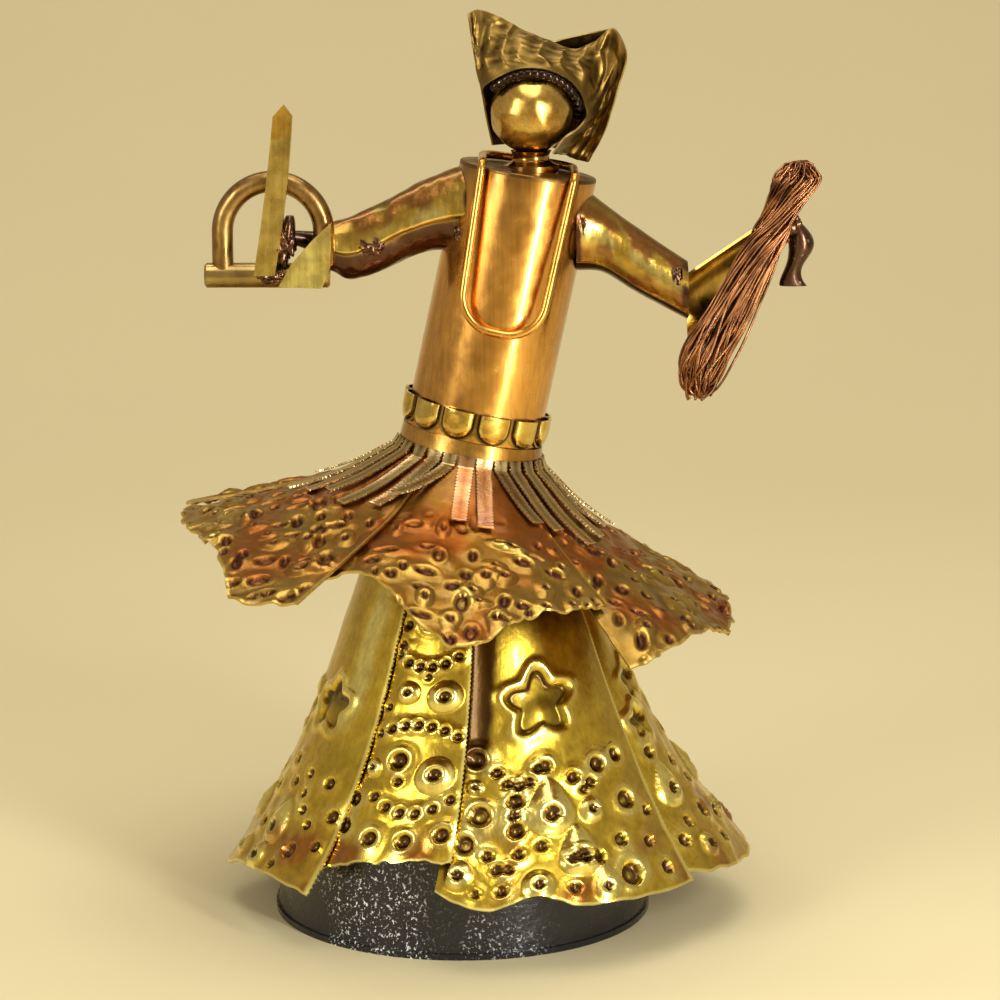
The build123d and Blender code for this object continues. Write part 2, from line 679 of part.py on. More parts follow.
bow_left_x = bow_centre_x - bow_radius
bow_right_x = bow_centre_x + bow_radius
with BuildPart() as bow:
    with BuildLine() as bow_path:
        Line((bow_left_x, frame_depth, bar_height), (bow_left_x, frame_depth, bow_spring_height))
        ThreePointArc((bow_left_x, frame_depth, bow_spring_height),
                      (bow_centre_x, frame_depth, bow_spring_height + bow_radius),
                      (bow_right_x, frame_depth, bow_spring_height))
        Line((bow_right_x, frame_depth, bow_spring_height), (bow_right_x, frame_depth, bar_height))
    with BuildSketch(Plane(origin=(bow_left_x, frame_depth, bar_height), z_dir=(0, 0, 1))):
        Circle(bow_rod_radius)
    sweep()
    with BuildSketch(Plane(origin=(bar_left_x - bar_radius, frame_depth, bar_height), z_dir=(1, 0, 0))):
        Circle(bar_radius + seat_gap)
    extrude(amount=bar_right_x - bar_left_x + 2 * bar_radius, mode=Mode.SUBTRACT)
    split(bisect_by=Plane.XY.offset(bar_height), keep=Keep.TOP)
save(bow.part, "frame_bow")

front_of_bar = frame_depth - bar_radius - seat_gap
stick_foot_x, stick_foot_z = stick_line[0]
plate_left_x = stick_foot_x + stick_width / 2 + loose_gap + 0.7
with BuildPart() as plate:
    with BuildSketch(Plane.XZ.offset(-front_of_bar)):
        with BuildLine():
            Polyline(
                (plate_left_x, bar_height - bar_radius + 1),
                (bar_right_x - 2.4, bar_height - bar_radius + 0.4),
                (bar_right_x + 0.3, bar_height + 3),
                (bar_right_x + 0.6, bow_spring_height + 3.5),
                (bow_right_x - bow_rod_radius, bow_spring_height - 2),
                (plate_left_x + 4, bar_height + bar_radius),
                close=True,
            )
        make_face()
    extrude(amount=plate_gauge)
save(plate.part, "frame_plate")

# ---- the stick ------------------------------------------------------------------------
tip_x, tip_z = stick_line[-1]
half = stick_width / 2
with BuildPart() as stick:
    with BuildSketch(Plane.XZ.offset(-front_of_bar)):
        with BuildLine():
            Spline(*[(x - half, z) for x, z in stick_line])
            Polyline((tip_x - half, tip_z), (tip_x, tip_z + stick_point_length), (tip_x + half * 0.8, tip_z))
            Spline(*[(x + half * 0.8 ** i, z) for i, (x, z) in zip((1, 0, 0), reversed(stick_line))])
            Line((stick_foot_x + half, stick_foot_z), (stick_foot_x - half, stick_foot_z))
        make_face()
    extrude(amount=stick_thickness)
save(stick.part, "drum_stick")

# ---- left forearm and hand ------------------------------------------------------------
reach_line = forearm_tip - forearm_start
with BuildPart() as left_forearm:
    with BuildSketch(Plane(origin=forearm_start, z_dir=reach_line)):
        Circle(forearm_start_radius)
    with BuildSketch(Plane(origin=forearm_tip, z_dir=reach_line)):
        Circle(forearm_tip_radius)
    loft()
    add(left_sleeve, mode=Mode.SUBTRACT)
save(left_forearm.part, "left_forearm")

left_hand_centre = Vector(bow_centre_x + 4.4, -22.2, bar_height + 11.8)
left_hand_sections = [(-7.2, 1.4), (-2.5, 2.2), (2, 2.5), (7.5, 1.2)]
with BuildPart() as left_hand:
    for rise, wide in left_hand_sections:
        with BuildSketch(Plane.XY.offset(left_hand_centre.Z + rise)):
            with Locations((left_hand_centre.X + rise * 0.15, left_hand_centre.Y)):
                Ellipse(wide, wide * 1.5)
    loft()
    add(stick.part, mode=Mode.SUBTRACT)
    add(left_forearm.part, mode=Mode.SUBTRACT)
    add(plate.part, mode=Mode.SUBTRACT)
save(left_hand.part, "left_hand")

# ---- right hand, forearm and whisk ----------------------------------------------------
with BuildPart() as right_hand:
    for x, height, wide, deep in hand_sections:
        with BuildSketch(Plane.XY.offset(shoulder.Z + height)):
            with Locations((shoulder.X + x, hand_depth)):
                Ellipse(wide, deep)
    loft()
save(right_hand.part, "right_hand")


def forearm_rows():
    """A half-round trough that opens towards the viewer and narrows to the wrist."""
    run = (wrist_point - elbow_point).normalized()
    up = Vector(-run.Z, 0, run.X).normalized()
    back = Vector(0, 1, 0)
    rows = []
    for t in spread(-0.08, 1, 6):
        centre = elbow_point + (wrist_point - elbow_point) * t
        half_width = elbow_half_width + (wrist_half_width - elbow_half_width) * max(t, 0) ** 1.3
        row = []
        for turn in spread(-82, 82, 7):
            side = up * (half_width * sin(radians(turn)))
            row.append(centre + side + back * (half_width * 0.85 * cos(radians(turn))))
        rows.append(row)
    return rows


with BuildPart() as right_forearm:
    add(sheet(forearm_rows(), forearm_gauge))
    split(bisect_by=Plane.YZ.offset(mitre_x), keep=Keep.TOP)
    add(right_hand.part, mode=Mode.SUBTRACT)
save(right_forearm.part, "right_forearm")

with BuildPart() as whisk:
    for i, (x, height, wide, deep) in enumerate(whisk_sections):
        before = whisk_sections[max(i - 1, 0)]
        after = whisk_sections[min(i + 1, len(whisk_sections) - 1)]
        run = Vector(after[0] - before[0], 0, after[1] - before[1])
        centre = Vector(shoulder.X + x, whisk_depth, shoulder.Z + height)
        with BuildSketch(Plane(origin=centre, x_dir=(-run.Z, 0, run.X), z_dir=run)):
            Ellipse(wide, deep)
    loft()
    add(right_hand.part, mode=Mode.SUBTRACT)
    add(right_forearm.part, mode=Mode.SUBTRACT)
save(whisk.part, "whisk_wires")
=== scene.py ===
"""Dresses a packed dancer statuette: raised brass skirts, snipped straps, creased scarf and a wire whisk."""
from math import cos, pi, radians, sin, tan

import bpy
import numpy as np
from bpy.props import FloatProperty, FloatVectorProperty, IntProperty, PointerProperty
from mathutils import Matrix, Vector


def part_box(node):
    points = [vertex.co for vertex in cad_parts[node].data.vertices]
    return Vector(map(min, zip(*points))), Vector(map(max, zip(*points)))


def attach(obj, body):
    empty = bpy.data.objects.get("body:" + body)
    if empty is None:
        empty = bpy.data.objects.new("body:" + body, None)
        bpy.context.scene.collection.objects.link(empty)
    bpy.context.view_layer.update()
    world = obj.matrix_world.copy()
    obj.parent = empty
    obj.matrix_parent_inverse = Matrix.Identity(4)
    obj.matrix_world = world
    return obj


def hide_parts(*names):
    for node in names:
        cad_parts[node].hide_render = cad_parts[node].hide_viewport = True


bl_info = {
    "name": "Sheet Brass Dancer",
    "version": (1, 0, 0),
    "blender": (4, 5, 0),
    "location": "3D View > Sidebar > Dancer",
    "description": "Makes the looks of a dancer cut and brazed from sheet brass and copper",
    "category": "Object",
}

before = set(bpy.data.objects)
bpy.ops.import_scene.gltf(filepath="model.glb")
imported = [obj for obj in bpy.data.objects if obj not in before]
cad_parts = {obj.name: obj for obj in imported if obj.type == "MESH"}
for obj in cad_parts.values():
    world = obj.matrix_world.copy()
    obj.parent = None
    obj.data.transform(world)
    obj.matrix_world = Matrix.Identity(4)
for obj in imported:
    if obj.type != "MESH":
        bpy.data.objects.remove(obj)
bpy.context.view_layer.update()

MM = 0.001            # shapes are worked out in millimetres
BODY = "figure"       # all but the necklace rides on this body
SHARP = radians(50)   # edges bent further than this stay crisp

# ---- forms of the sheets, the same as the solids that they stand for ----
SKIRT_APEX = (-0.1, 0.0, 155.0)
SKIRT_TILT = -3.0
SKIRT_TOP = 7.96
SKIRT_PROFILE = ((6, 22.1), (51.5, 39.7), (85.6, 53.2), (120, 71.9), (138, 85.3), (146, 91.5))
SEAM_SWIRL, SWIRL_DROP = -0.13, 80.0
SLOPE_STRETCH = 1.16   # length down the flared sheet for each unit of drop
LAP_ANGLE, RECESS_ANGLE = 3.0, 13.0
RECESS_TOP, RECESS_GROWTH, GORE_CROWN = 2.4, 0.009, 1.6
GORES = (
    (-195, (136, 138.5, 132.5, 130.5, 132)),
    (-130, (126, 122, 120, 119.2, 120)),
    (-95, (128, 132.5, 130, 133, 135, 135.5, 136.5)),
    (-32, (133, 137, 140, 140, 136)),
    (28, (134, 137, 133, 136, 132)),
    (82, (130, 134, 131, 135, 133)),
    (122, (134, 138, 134, 137, 135)),
)
OVER_CENTRE = (4.0, 0.0, 162.0)
OVER_LEAN = 9.5
OVER_PROFILE = ((23.9, 9.4), (30, 14.5), (38, 21), (46, 26), (60, 32.5), (75, 39), (90, 45.5), (106, 52.4))
OVER_RECESS, OVER_RECESS_GROWTH, OVER_RECESS_ANGLE = 1.7, 0.045, 14.0
RIPPLE_HEIGHT, RIPPLE_COUNT, RIPPLE_TURN = 2.2, 9, 95.0
PANELS = (
    (-193, (91, 89.5, 88, 88, 91, 101, 98)),
    (-121, (77, 76, 81, 93, 98, 86, 81, 78, 75)),
    (-52, (95, 95, 93, 95, 94, 92, 90)),
    (18, (90, 95, 89, 96, 91, 97, 90)),
    (92, (92, 98, 91, 95, 89, 94, 91)),
)
STRAP_GAUGE, STRAP_START, STRAP_LIFT = 0.6, 25.6, 1.3
STRAP_WIDTH, SIDE_STRAP_WIDTH = 5.0, 4.2
STRAP_TOP_RADIUS, STRAP_TOP_RISE = 23.5, -3.4   # where a strap begins, up on the collar
STRAPS = (
    (-173, -177, 57, 0.5), (-160, -166, 52, 0.5), (-147, -155, 48, 0.8), (-131, -141, 50, 0.8),
    (-117, -128, 45.4, 0.6), (-105, -121, 42, 3.6), (-92, -91, 44.5, 1.2), (-79, -80, 46, 1.2),
    (-66, -54, 42, 0.8), (-53, -45, 45, 0.8), (-39, -34, 52, 0.8), (-24, -21, 50, 0.8),
    (-9, -5, 48, 0.8), (8, 12, 52, 0.8), (26, 28, 46, 0.8), (44, 47, 51, 0.8), (62, 63, 47, 0.8),
    (80, 79, 50, 0.8), (98, 99, 46, 0.8), (116, 118, 52, 0.8), (134, 137, 48, 0.8), (153, 156, 53, 0.8),
)
COPPER_STRAPS, PALE_STRAPS = (7, 8), (6, 9)
HAMMER_PITCH = 8.3
BELT_CENTRE, BELT_LEAN = np.array((4.5, 0.0, 165.0)), 12.0
BELT_RADIUS, BELT_GAUGE, BELT_HEIGHT = 23.15, 0.9, 9.5
TONGUES, TONGUE_WIDTH, TONGUE_HEIGHT, TONGUE_RISE = 12, 10.4, 8.6, 1.3

SHOULDER_RISE = 80.0
SHOULDER = BELT_CENTRE + (SHOULDER_RISE * tan(radians(BELT_LEAN)), 0.0, SHOULDER_RISE)
HEAD_CENTRE = SHOULDER + (1.0, 0.0, 19.4)
HEAD_RADIUS, GOLDEN_TURN = 13.5, 2.39996
BAND_RADIUS, BAND_REACH, BAND_TILT = 1.6, 15.15, 32.0
BAND_FROM, BAND_TO = -54.0, 98.0
SCARF_GAUGE = 0.6
SCARF_RIM = BAND_REACH + BAND_RADIUS + SCARF_GAUGE


def on_brow(turn, reach=SCARF_RIM):
    """A point on a tilted ring round the head, counted from the head's centre."""
    lean, angle = radians(BAND_TILT), radians(turn)
    return reach * sin(angle), -reach * cos(angle) * sin(lean), reach * cos(angle) * cos(lean)


SCARF_FRONT = (
    ((-14.6, 2.0, 2.0), (-17.0, 2.6, 12.5), (-18.9, 3.2, 22.0), (-20.4, 3.5, 31.2)),
    ((-15.6, -2.6, 7.4), (-16.8, -0.6, 15.5), (-16.6, 2.0, 23.6), (-16.4, 3.5, 32.4)),
    (on_brow(-42), (-12.0, -4.4, 18.0), (-10.6, -0.6, 23.8), (-9.2, 3.5, 29.6)),
    (on_brow(-14), (-4.0, -6.4, 18.0), (-3.2, -2.0, 22.0), (-2.4, 3.5, 25.8)),
    (on_brow(14), (4.4, -6.2, 17.0), (5.2, -2.0, 19.8), (6.0, 3.5, 22.4)),
    (on_brow(40), (11.8, -3.8, 15.6), (12.6, -0.4, 17.6), (13.4, 3.5, 19.6)),
    (on_brow(62), (17.4, -1.4, 12.6), (18.8, 1.6, 17.4), (20.0, 3.5, 22.0)),
    (on_brow(80), (20.6, 3.0, 8.0), (23.4, 5.0, 17.0), (26.4, 3.5, 26.4)),
    ((17.9, -2.0, -1.0), (22.4, 6.4, 4.0), (26.8, 6.6, 12.0), (30.6, 2.5, 18.0)),
    ((15.0, -7.0, -4.6), (21.0, 7.6, -1.6), (24.6, 8.4, 2.0), (27.8, 4.5, 6.4)),
    ((10.4, -9.8, -7.6), (16.4, 9.2, -8.0), (20.6, 10.6, -7.8), (23.8, 8.5, -7.4)),
    ((6.8, -8.8, -12.6), (11.0, 11.0, -14.8), (15.0, 12.8, -16.6), (19.0, 12.6, -17.2)),
)
SCARF_BACK = (
    ((-20.2, 3.5, 31.0), (6.0, 3.5, 22.0), (26.4, 3.5, 26.4), 1.5),
    ((-18.4, 3.2, 18.5), (6.0, 3.5, 14.6), (29.0, 4.5, 16.0), 9.0),
    ((-16.0, 2.4, 7.0), (6.0, 3.5, 4.8), (27.4, 7.0, 5.0), 13.8),
    ((-14.4, 1.8, -2.0), (5.0, 4.0, -4.0), (24.6, 9.5, -5.0), 14.0),
    ((-12.4, 1.6, -11.0), (4.0, 6.0, -12.4), (18.8, 14.2, -17.0), 11.5),
)
SCARF_BACK_GAP = 1.5

# Sleeve sections: X, Y and height of the centre, height and depth of the section.
LEFT_SLEEVE = ((3, -2, 233.0, 31, 24), (-12, -3.5, 230.2, 25.3, 20),
               (-33, -7, 221.3, 22.8, 17), (-42, -9.2, 221.6, 16.5, 14.2))
RIGHT_SLEEVE = ((37, -2, 227.0, 31, 24), (46, -3, 223.4, 24.4, 20),
                (58, -4.5, 215.6, 22.6, 19), (73, -6, 206.9, 20.2, 18))
SLEEVE_GAUGE = 0.8
# Hand and whisk sections: X and height of the centre, half width, half depth.
WHISK_DEPTH = -17.0
WHISK_SECTIONS = ((76.0, 174.2, 3.4, 2.6), (76.4, 178.4, 6.4, 4.4), (79.6, 188.6, 9.2, 5.8), (88.0, 205.0, 8.2, 5.6),
                  (96.4, 223.0, 7.0, 5.0), (102.0, 234.2, 5.6, 4.4), (106.4, 244.6, 8.0, 5.4), (107.6, 249.6, 4.6, 3.2))


# ---- settings a user would change ----
class SkirtSettings(bpy.types.PropertyGroup):
    gauge: FloatProperty(
        name="Gauge", description="Thickness of the skirt sheet", unit="LENGTH", default=0.0008, min=0.0003)
    boss_height: FloatProperty(
        name="Boss height", description="How far raised work stands", subtype="FACTOR", default=1.0, min=0.0, max=2.0)
    hammer_height: FloatProperty(
        name="Hammer marks", description="Depth of the hammer work", subtype="FACTOR", default=1.0, min=0.0, max=2.0)
    tooth_pitch: FloatProperty(
        name="Tooth pitch", description="Pitch of the snipped teeth", unit="LENGTH", default=0.00135, min=0.0005)
    tooth_depth: FloatProperty(
        name="Tooth depth", description="Depth of the snipped teeth", unit="LENGTH", default=0.0006, min=0.0)


class FigureSettings(bpy.types.PropertyGroup):
    facets: IntProperty(name="Facets", description="Hammer facets on the head", default=150, min=12, max=400)
    beads: IntProperty(name="Beads", description="Beads along the headband", default=17, min=4, max=60)
    crease_depth: FloatProperty(
        name="Crease depth", description="Depth of the scarf's creases", unit="LENGTH", default=0.00075, min=0.0)
    hairpins: IntProperty(name="Hairpins", description="Bent wires in the whisk", default=40, min=4, max=90)
    wire_radius: FloatProperty(
        name="Wire radius", description="Radius of a whisk wire", unit="LENGTH", default=0.0004, min=0.0001)


def colour(name, description, default):
    """A colour that a user can pick."""
    return FloatVectorProperty(name=name, description=description, subtype="COLOR", min=0.0, max=1.0, default=default)


class ColourSettings(bpy.types.PropertyGroup):
    brass: colour("Brass", "Polished brass of the underskirt", (0.95, 0.82, 0.24))
    # Also the colour of the painted shade under the overskirt, down the tucked gore edge and round the belt's tongues.
    brass_hollow: colour("Brass hollows", "Lacquer and tarnish in the hollows of the brass", (0.085, 0.040, 0.007))
    bronze: colour("Bronzed sheet", "Heat-coloured sheet of the overskirt", (0.33, 0.20, 0.035))
    # Also the colour of the painted shade near the waist, down the overskirt's fold troughs and at the tops of the
    # bronze straps.
    bronze_hollow: colour("Bronzed hollows", "Hollows of the overskirt", (0.075, 0.022, 0.009))
    copper: colour("Copper", "Brushed copper of the body and wires", (0.83, 0.42, 0.085))
    dark: colour("Brazing", "Dark bronze of the brazed lumps", (0.06, 0.028, 0.014))
    lacquer: colour("Lacquer", "Black gloss of the plinth", (0.006, 0.006, 0.008))
    wall: colour("Wall", "Floor and backdrop", (0.67, 0.59, 0.36))


class StageSettings(bpy.types.PropertyGroup):
    camera_place: FloatVectorProperty(
        name="Camera", description="Where the camera stands", subtype="TRANSLATION", default=(0.0125, -1.1, 0.357))
    camera_pitch: FloatProperty(
        name="Pitch", description="How far the camera looks down", subtype="ANGLE", default=radians(11.3))
    lens: FloatProperty(name="Lens", description="Focal length", unit="CAMERA", default=122.87)
    window_power: FloatProperty(
        name="Windows", description="Power of the window lamps", unit="POWER", default=9.0, min=0.0)


# ---- shapes ----
def points_of(x, y, z):
    """Points from their three coordinates, spread over one grid."""
    return np.stack(np.broadcast_arrays(x, y, z), axis=-1)


def full_turn(count):
    """A row of angles, evenly spaced round a circle."""
    return np.linspace(0, 2 * pi, count, endpoint=False)[None, :]


def leaning(origin, lean, radius, angle, height):
    """Points at a radius, an angle and a height about an axis that leans from the vertical towards +X."""
    c, s = cos(radians(lean)), sin(radians(lean))
    x, y = radius * np.cos(angle), radius * np.sin(angle)
    return points_of(origin[0] + x * c + height * s, origin[1] + y, origin[2] - x * s + height * c)


def ease(part):
    """The smooth step 3t^2 - 2t^3."""
    return part * part * (3 - 2 * part)


def step(low, high, value):
    """A smooth step from 0 at low to 1 at high."""
    return ease(np.clip((value - low) / (high - low), 0, 1))


def cubic(start, end, leave, arrive, part):
    """The Hermite cubic from start to end, with its slope at each, read part of the way along."""
    return (start * (1 + 2 * part) * (1 - part) ** 2 + leave * part * (1 - part) ** 2
            + end * part ** 2 * (3 - 2 * part) + arrive * part ** 2 * (part - 1))


def blend_through(values, places):
    """Values read between evenly spaced rows: cubic pieces whose slopes come from the rows beside them."""
    values = np.asarray(values, dtype=float)
    slopes = np.gradient(values, axis=0)
    low = np.clip(np.floor(places).astype(int), 0, len(values) - 2)
    part = np.asarray(places - low).reshape((-1,) + (1,) * (values.ndim - 1))
    return cubic(values[low], values[low + 1], slopes[low], slopes[low + 1], part)


def profile_at(profile, place):
    """The smooth curve through (place, value) pairs, read at an array of places."""
    xs, ys = (np.array(column, dtype=float) for column in zip(*profile))
    slopes = np.gradient(ys, xs)
    low = np.clip(np.searchsorted(xs, place) - 1, 0, len(xs) - 2)
    span = xs[low + 1] - xs[low]
    return cubic(ys[low], ys[low + 1], slopes[low] * span, slopes[low + 1] * span, (place - xs[low]) / span)


def soft_hills(x, y, cell, seed):
    """Random hills from -1 to 1: random heights on a lattice, one every cell, joined by smooth steps."""
    lattice = np.random.default_rng(seed).uniform(-1, 1, (64, 64))
    u, v = np.asarray(x) / cell, np.asarray(y) / cell
    i, j = np.floor(u).astype(int), np.floor(v).astype(int)
    along, up = ease(u - i), ease(v - j)
    near, far = (lattice[row % 64, j % 64] * (1 - up) + lattice[row % 64, (j + 1) % 64] * up for row in (i, i + 1))
    return near * (1 - along) + far * along


def outward(points):
    """Unit normals of a grid of points: the way down its rows crossed with the way along its columns."""
    normal = np.cross(np.gradient(points, axis=0), np.gradient(points, axis=1))
    return normal / np.maximum(np.linalg.norm(normal, axis=-1, keepdims=True), 1e-9)


def skin(name, points, wrap=False, caps=False, marks=None):
    """A mesh through a grid of points, closed round if wrap, with a fan of faces over each end if caps.

    marks are named values, one for each point of the grid, that the finish reads.
    """
    rows, columns = points.shape[:2]
    index = np.arange(rows * columns).reshape(rows, columns)
    if wrap:
        index = np.concatenate([index, index[:, :1]], axis=1)
    faces = np.stack([index[:-1, :-1], index[1:, :-1], index[1:, 1:], index[:-1, 1:]], axis=-1).reshape(-1, 4).tolist()
    vertices = points.reshape(-1, 3)
    if caps:
        vertices = np.concatenate([vertices, points[[0, -1]].mean(axis=1)])
        for tip, one, two in ((0, index[0, :-1], index[0, 1:]), (1, index[-1, 1:], index[-1, :-1])):
            faces += np.stack([np.full_like(one, rows * columns + tip), one, two], axis=-1).tolist()
    mesh = bpy.data.meshes.new(name)
    mesh.from_pydata((vertices * MM).tolist(), [], faces)
    for mark, values in (marks or {}).items():
        padded = np.concatenate([values.ravel(), np.zeros(len(vertices) - values.size)])
        mesh.attributes.new(mark, "FLOAT", "POINT").data.foreach_set("value", padded.astype(np.float32))
    mesh.polygons.foreach_set("use_smooth", np.ones(len(mesh.polygons), dtype=bool))
    piece = bpy.data.objects.new(name, mesh)
    bpy.context.collection.objects.link(piece)
    return piece


def tube(path, radius, sides, side_way):
    """Rings of points round a path: radius along side_way made square to the path, and along their cross."""
    along = np.gradient(path, axis=0)
    along /= np.linalg.norm(along, axis=-1, keepdims=True)
    first = side_way - (along @ side_way)[:, None] * along
    first /= np.linalg.norm(first, axis=-1, keepdims=True)
    second = np.cross(first, along)
    turn = full_turn(sides)[..., None]
    reach = np.broadcast_to(radius, (len(path),))[:, None, None]
    return path[:, None] + reach * (first[:, None] * np.cos(turn) + second[:, None] * np.sin(turn))


def ball_rings(rows, columns):
    """Unit directions of a ball, from its top to its underside, as a grid."""
    fall, turn = np.linspace(0.02, pi - 0.02, rows)[:, None], full_turn(columns)
    return points_of(np.sin(fall) * np.cos(turn), np.sin(fall) * np.sin(turn), np.cos(fall))


def lump(name, centre, size, seed, rough):
    """A blob of run brazing: an ellipsoid whose reach carries two sizes of soft random hills."""
    ways = ball_rings(34, 48)
    x, y, z = np.moveaxis(ways, -1, 0)
    x, y = x * 3 + 9, y * 3 + 9
    hills = soft_hills(x + z, y - z, 0.9, seed) + 0.5 * soft_hills(x - z, y + z, 0.35, seed + 1)
    points = np.array(centre) + ways * np.array(size) * (1 + rough * hills)[..., None]
    return skin(name, points, wrap=True, caps=True, marks={"relief": 0.5 + 0.5 * hills})


def dress(piece, finish, nodes=()):
    """Hangs a finished piece on the figure and finish, and hides what it stands for."""
    piece.data.materials.append(finish)
    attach(piece, BODY)
    if nodes:
        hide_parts(*nodes)


def sheet(name, points, marks, gauge, finish, node, wrap=False):
    """A dressed sheet with crisp cut edges: its gauge lies inside the points if it closes round, else half each way."""
    piece = skin(name, points, wrap=wrap, marks=marks)
    wall = piece.modifiers.new("wall", "SOLIDIFY")
    wall.thickness = gauge * MM
    wall.offset = -1.0 if wrap else 0.0
    mesh = bpy.data.meshes.new_from_object(piece.evaluated_get(bpy.context.evaluated_depsgraph_get()))
    mesh.set_sharp_from_angle(angle=SHARP)
    piece.modifiers.clear()
    piece.data = mesh
    dress(piece, finish, [node])


def coat_node(node, finish):
    """Gives a carried-over node its finish."""
    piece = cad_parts[node]
    if not piece.material_slots:
        piece.data.materials.append(finish)
    for slot in piece.material_slots:
        slot.material = finish


# ---- finishes ----
class Finish:
    """A material being wired: each method adds nodes and gives back an output."""

    def __init__(self, name, metallic=1.0, roughness=0.3, coat=0.0):
        self.material = bpy.data.materials.new(name)
        self.material.use_nodes = True
        self.tree = self.material.node_tree
        self.surface = self.tree.nodes["Principled BSDF"]
        for key, value in (("Metallic", metallic), ("Roughness", roughness), ("Coat Weight", coat),
                           ("Coat Roughness", 0.08)):
            self.surface.inputs[key].default_value = value
        self.place = self.add("ShaderNodeTexCoord").outputs["Object"]

    def add(self, kind, inputs=None, **settings):
        node = self.tree.nodes.new(kind)
        for key, value in settings.items():
            setattr(node, key, value)
        for key, value in (inputs or {}).items():
            self.feed(node.inputs[key], value)
        return node

    def feed(self, socket, value):
        if isinstance(value, bpy.types.NodeSocket):
            self.tree.links.new(value, socket)
        else:
            socket.default_value = value

    def noise(self, scale, detail=3.0, roughness=0.55, stretch=(1, 1, 1)):
        where = self.add("ShaderNodeMapping", {"Vector": self.place, "Scale": stretch})
        return self.add("ShaderNodeTexNoise", {"Vector": where.outputs[0], "Scale": scale, "Detail": detail,
                                               "Roughness": roughness}).outputs[0]

    def wander(self, amount, *noise):
        return self.sum("MULTIPLY", self.sum("SUBTRACT", self.noise(*noise), 0.5), amount)

    def mark(self, name):
        return self.add("ShaderNodeAttribute", attribute_name=name).outputs["Fac"]

    def ramp(self, value, *stops):
        node = self.add("ShaderNodeValToRGB", {"Fac": value})
        elements = node.color_ramp.elements
        elements.remove(elements[1])
        elements[0].position = stops[0][0]
        for place, _ in stops[1:]:
            elements.new(place)
        for element, (_, shade) in zip(elements, stops):
            element.color = (*shade, 1) if hasattr(shade, "__len__") else (shade, shade, shade, 1)
        return node.outputs[0]

    def mix(self, factor, a, b, blend="MIX"):
        node = self.add("ShaderNodeMix", data_type="RGBA", blend_type=blend)
        self.feed(node.inputs[0], factor)
        for socket, value in ((node.inputs[6], a), (node.inputs[7], b)):
            self.feed(socket, value if isinstance(value, bpy.types.NodeSocket) else (*value, 1))
        return node.outputs[2]

    def sum(self, kind, a, b):
        return self.add("ShaderNodeMath", {0: a, 1: b}, operation=kind).outputs[0]

    def bump(self, height, strength, distance_mm, under=None):
        node = self.add("ShaderNodeBump", {"Height": height, "Strength": strength, "Distance": distance_mm * MM})
        if under is not None:
            self.feed(node.inputs["Normal"], under)
        return node.outputs[0]

    def done(self, shade, roughness=None, normal=None):
        for key, value in (("Base Color", shade), ("Roughness", roughness), ("Normal", normal)):
            if value is not None:
                self.feed(self.surface.inputs[key], value)
        return self.material


def scaled(shade, factor):
    """A shade made lighter or darker by a factor, and never past 1."""
    return tuple(min(value * factor, 1.0) for value in shade)


def relief_metal(name, hollow, body, high, roughness=(0.34, 0.17), streaks=None, tint=(0.5, 0.16, 0.03), coat=0.0):
    """Raised sheet: patina in its pits, painted shade in its recesses, a painted highlight on its tops and cut edges,
    mottled and finely hammered.
    """
    f = Finish(name, coat=coat)
    # The relief mark turns into colour: painted shade where it is low, a painted highlight in the high colour where it
    # is raised.
    tone = f.sum("ADD", f.mark("relief"), f.wander(0.42, 70, 4.0, 0.6))
    shade = f.ramp(tone, (0.20, scaled(body, 0.45)), (0.48, body), (0.66, scaled(body, 1.3)), (0.9, high))
    heated = f.ramp(f.sum("MULTIPLY", f.mark("warmth"), f.noise(90, 4.0)), (0.10, 0.0), (0.42, 0.9))
    shade = f.mix(heated, shade, tint)
    mottle = f.ramp(f.noise(260, 5.0, 0.7), (0.32, (0.66, 0.56, 0.44)), (0.60, (1, 1, 1)))
    shade = f.mix(0.6, shade, mottle, "MULTIPLY")
    if streaks:
        brush = f.ramp(f.noise(620, 3.0, 0.6, streaks), (0.34, 0.70), (0.64, 1.0))
        shade = f.mix(0.6, shade, brush, "MULTIPLY")
    # Patina in the pits, and painted shade in recesses, folds and under other parts, all in the hollow colour.
    spread = f.sum("ADD", f.mark("patina_and_shade"), f.wander(0.5, 210, 3.0))
    shade = f.mix(f.ramp(spread, (0.30, 0.0), (0.78, 1.0)), shade, hollow)
    # A painted highlight along cut edges and fold lines.
    shade = f.mix(f.mark("painted_edge_highlight"), shade, high)
    rough = f.ramp(tone, (0.25, roughness[0]), (0.75, roughness[1]))
    normal = f.bump(f.noise(520, 2.0), 0.22, 0.35)
    if streaks:
        normal = f.bump(f.noise(900, 2.0, 0.6, streaks), 0.14, 0.2, normal)
    return f.done(shade, rough, normal)


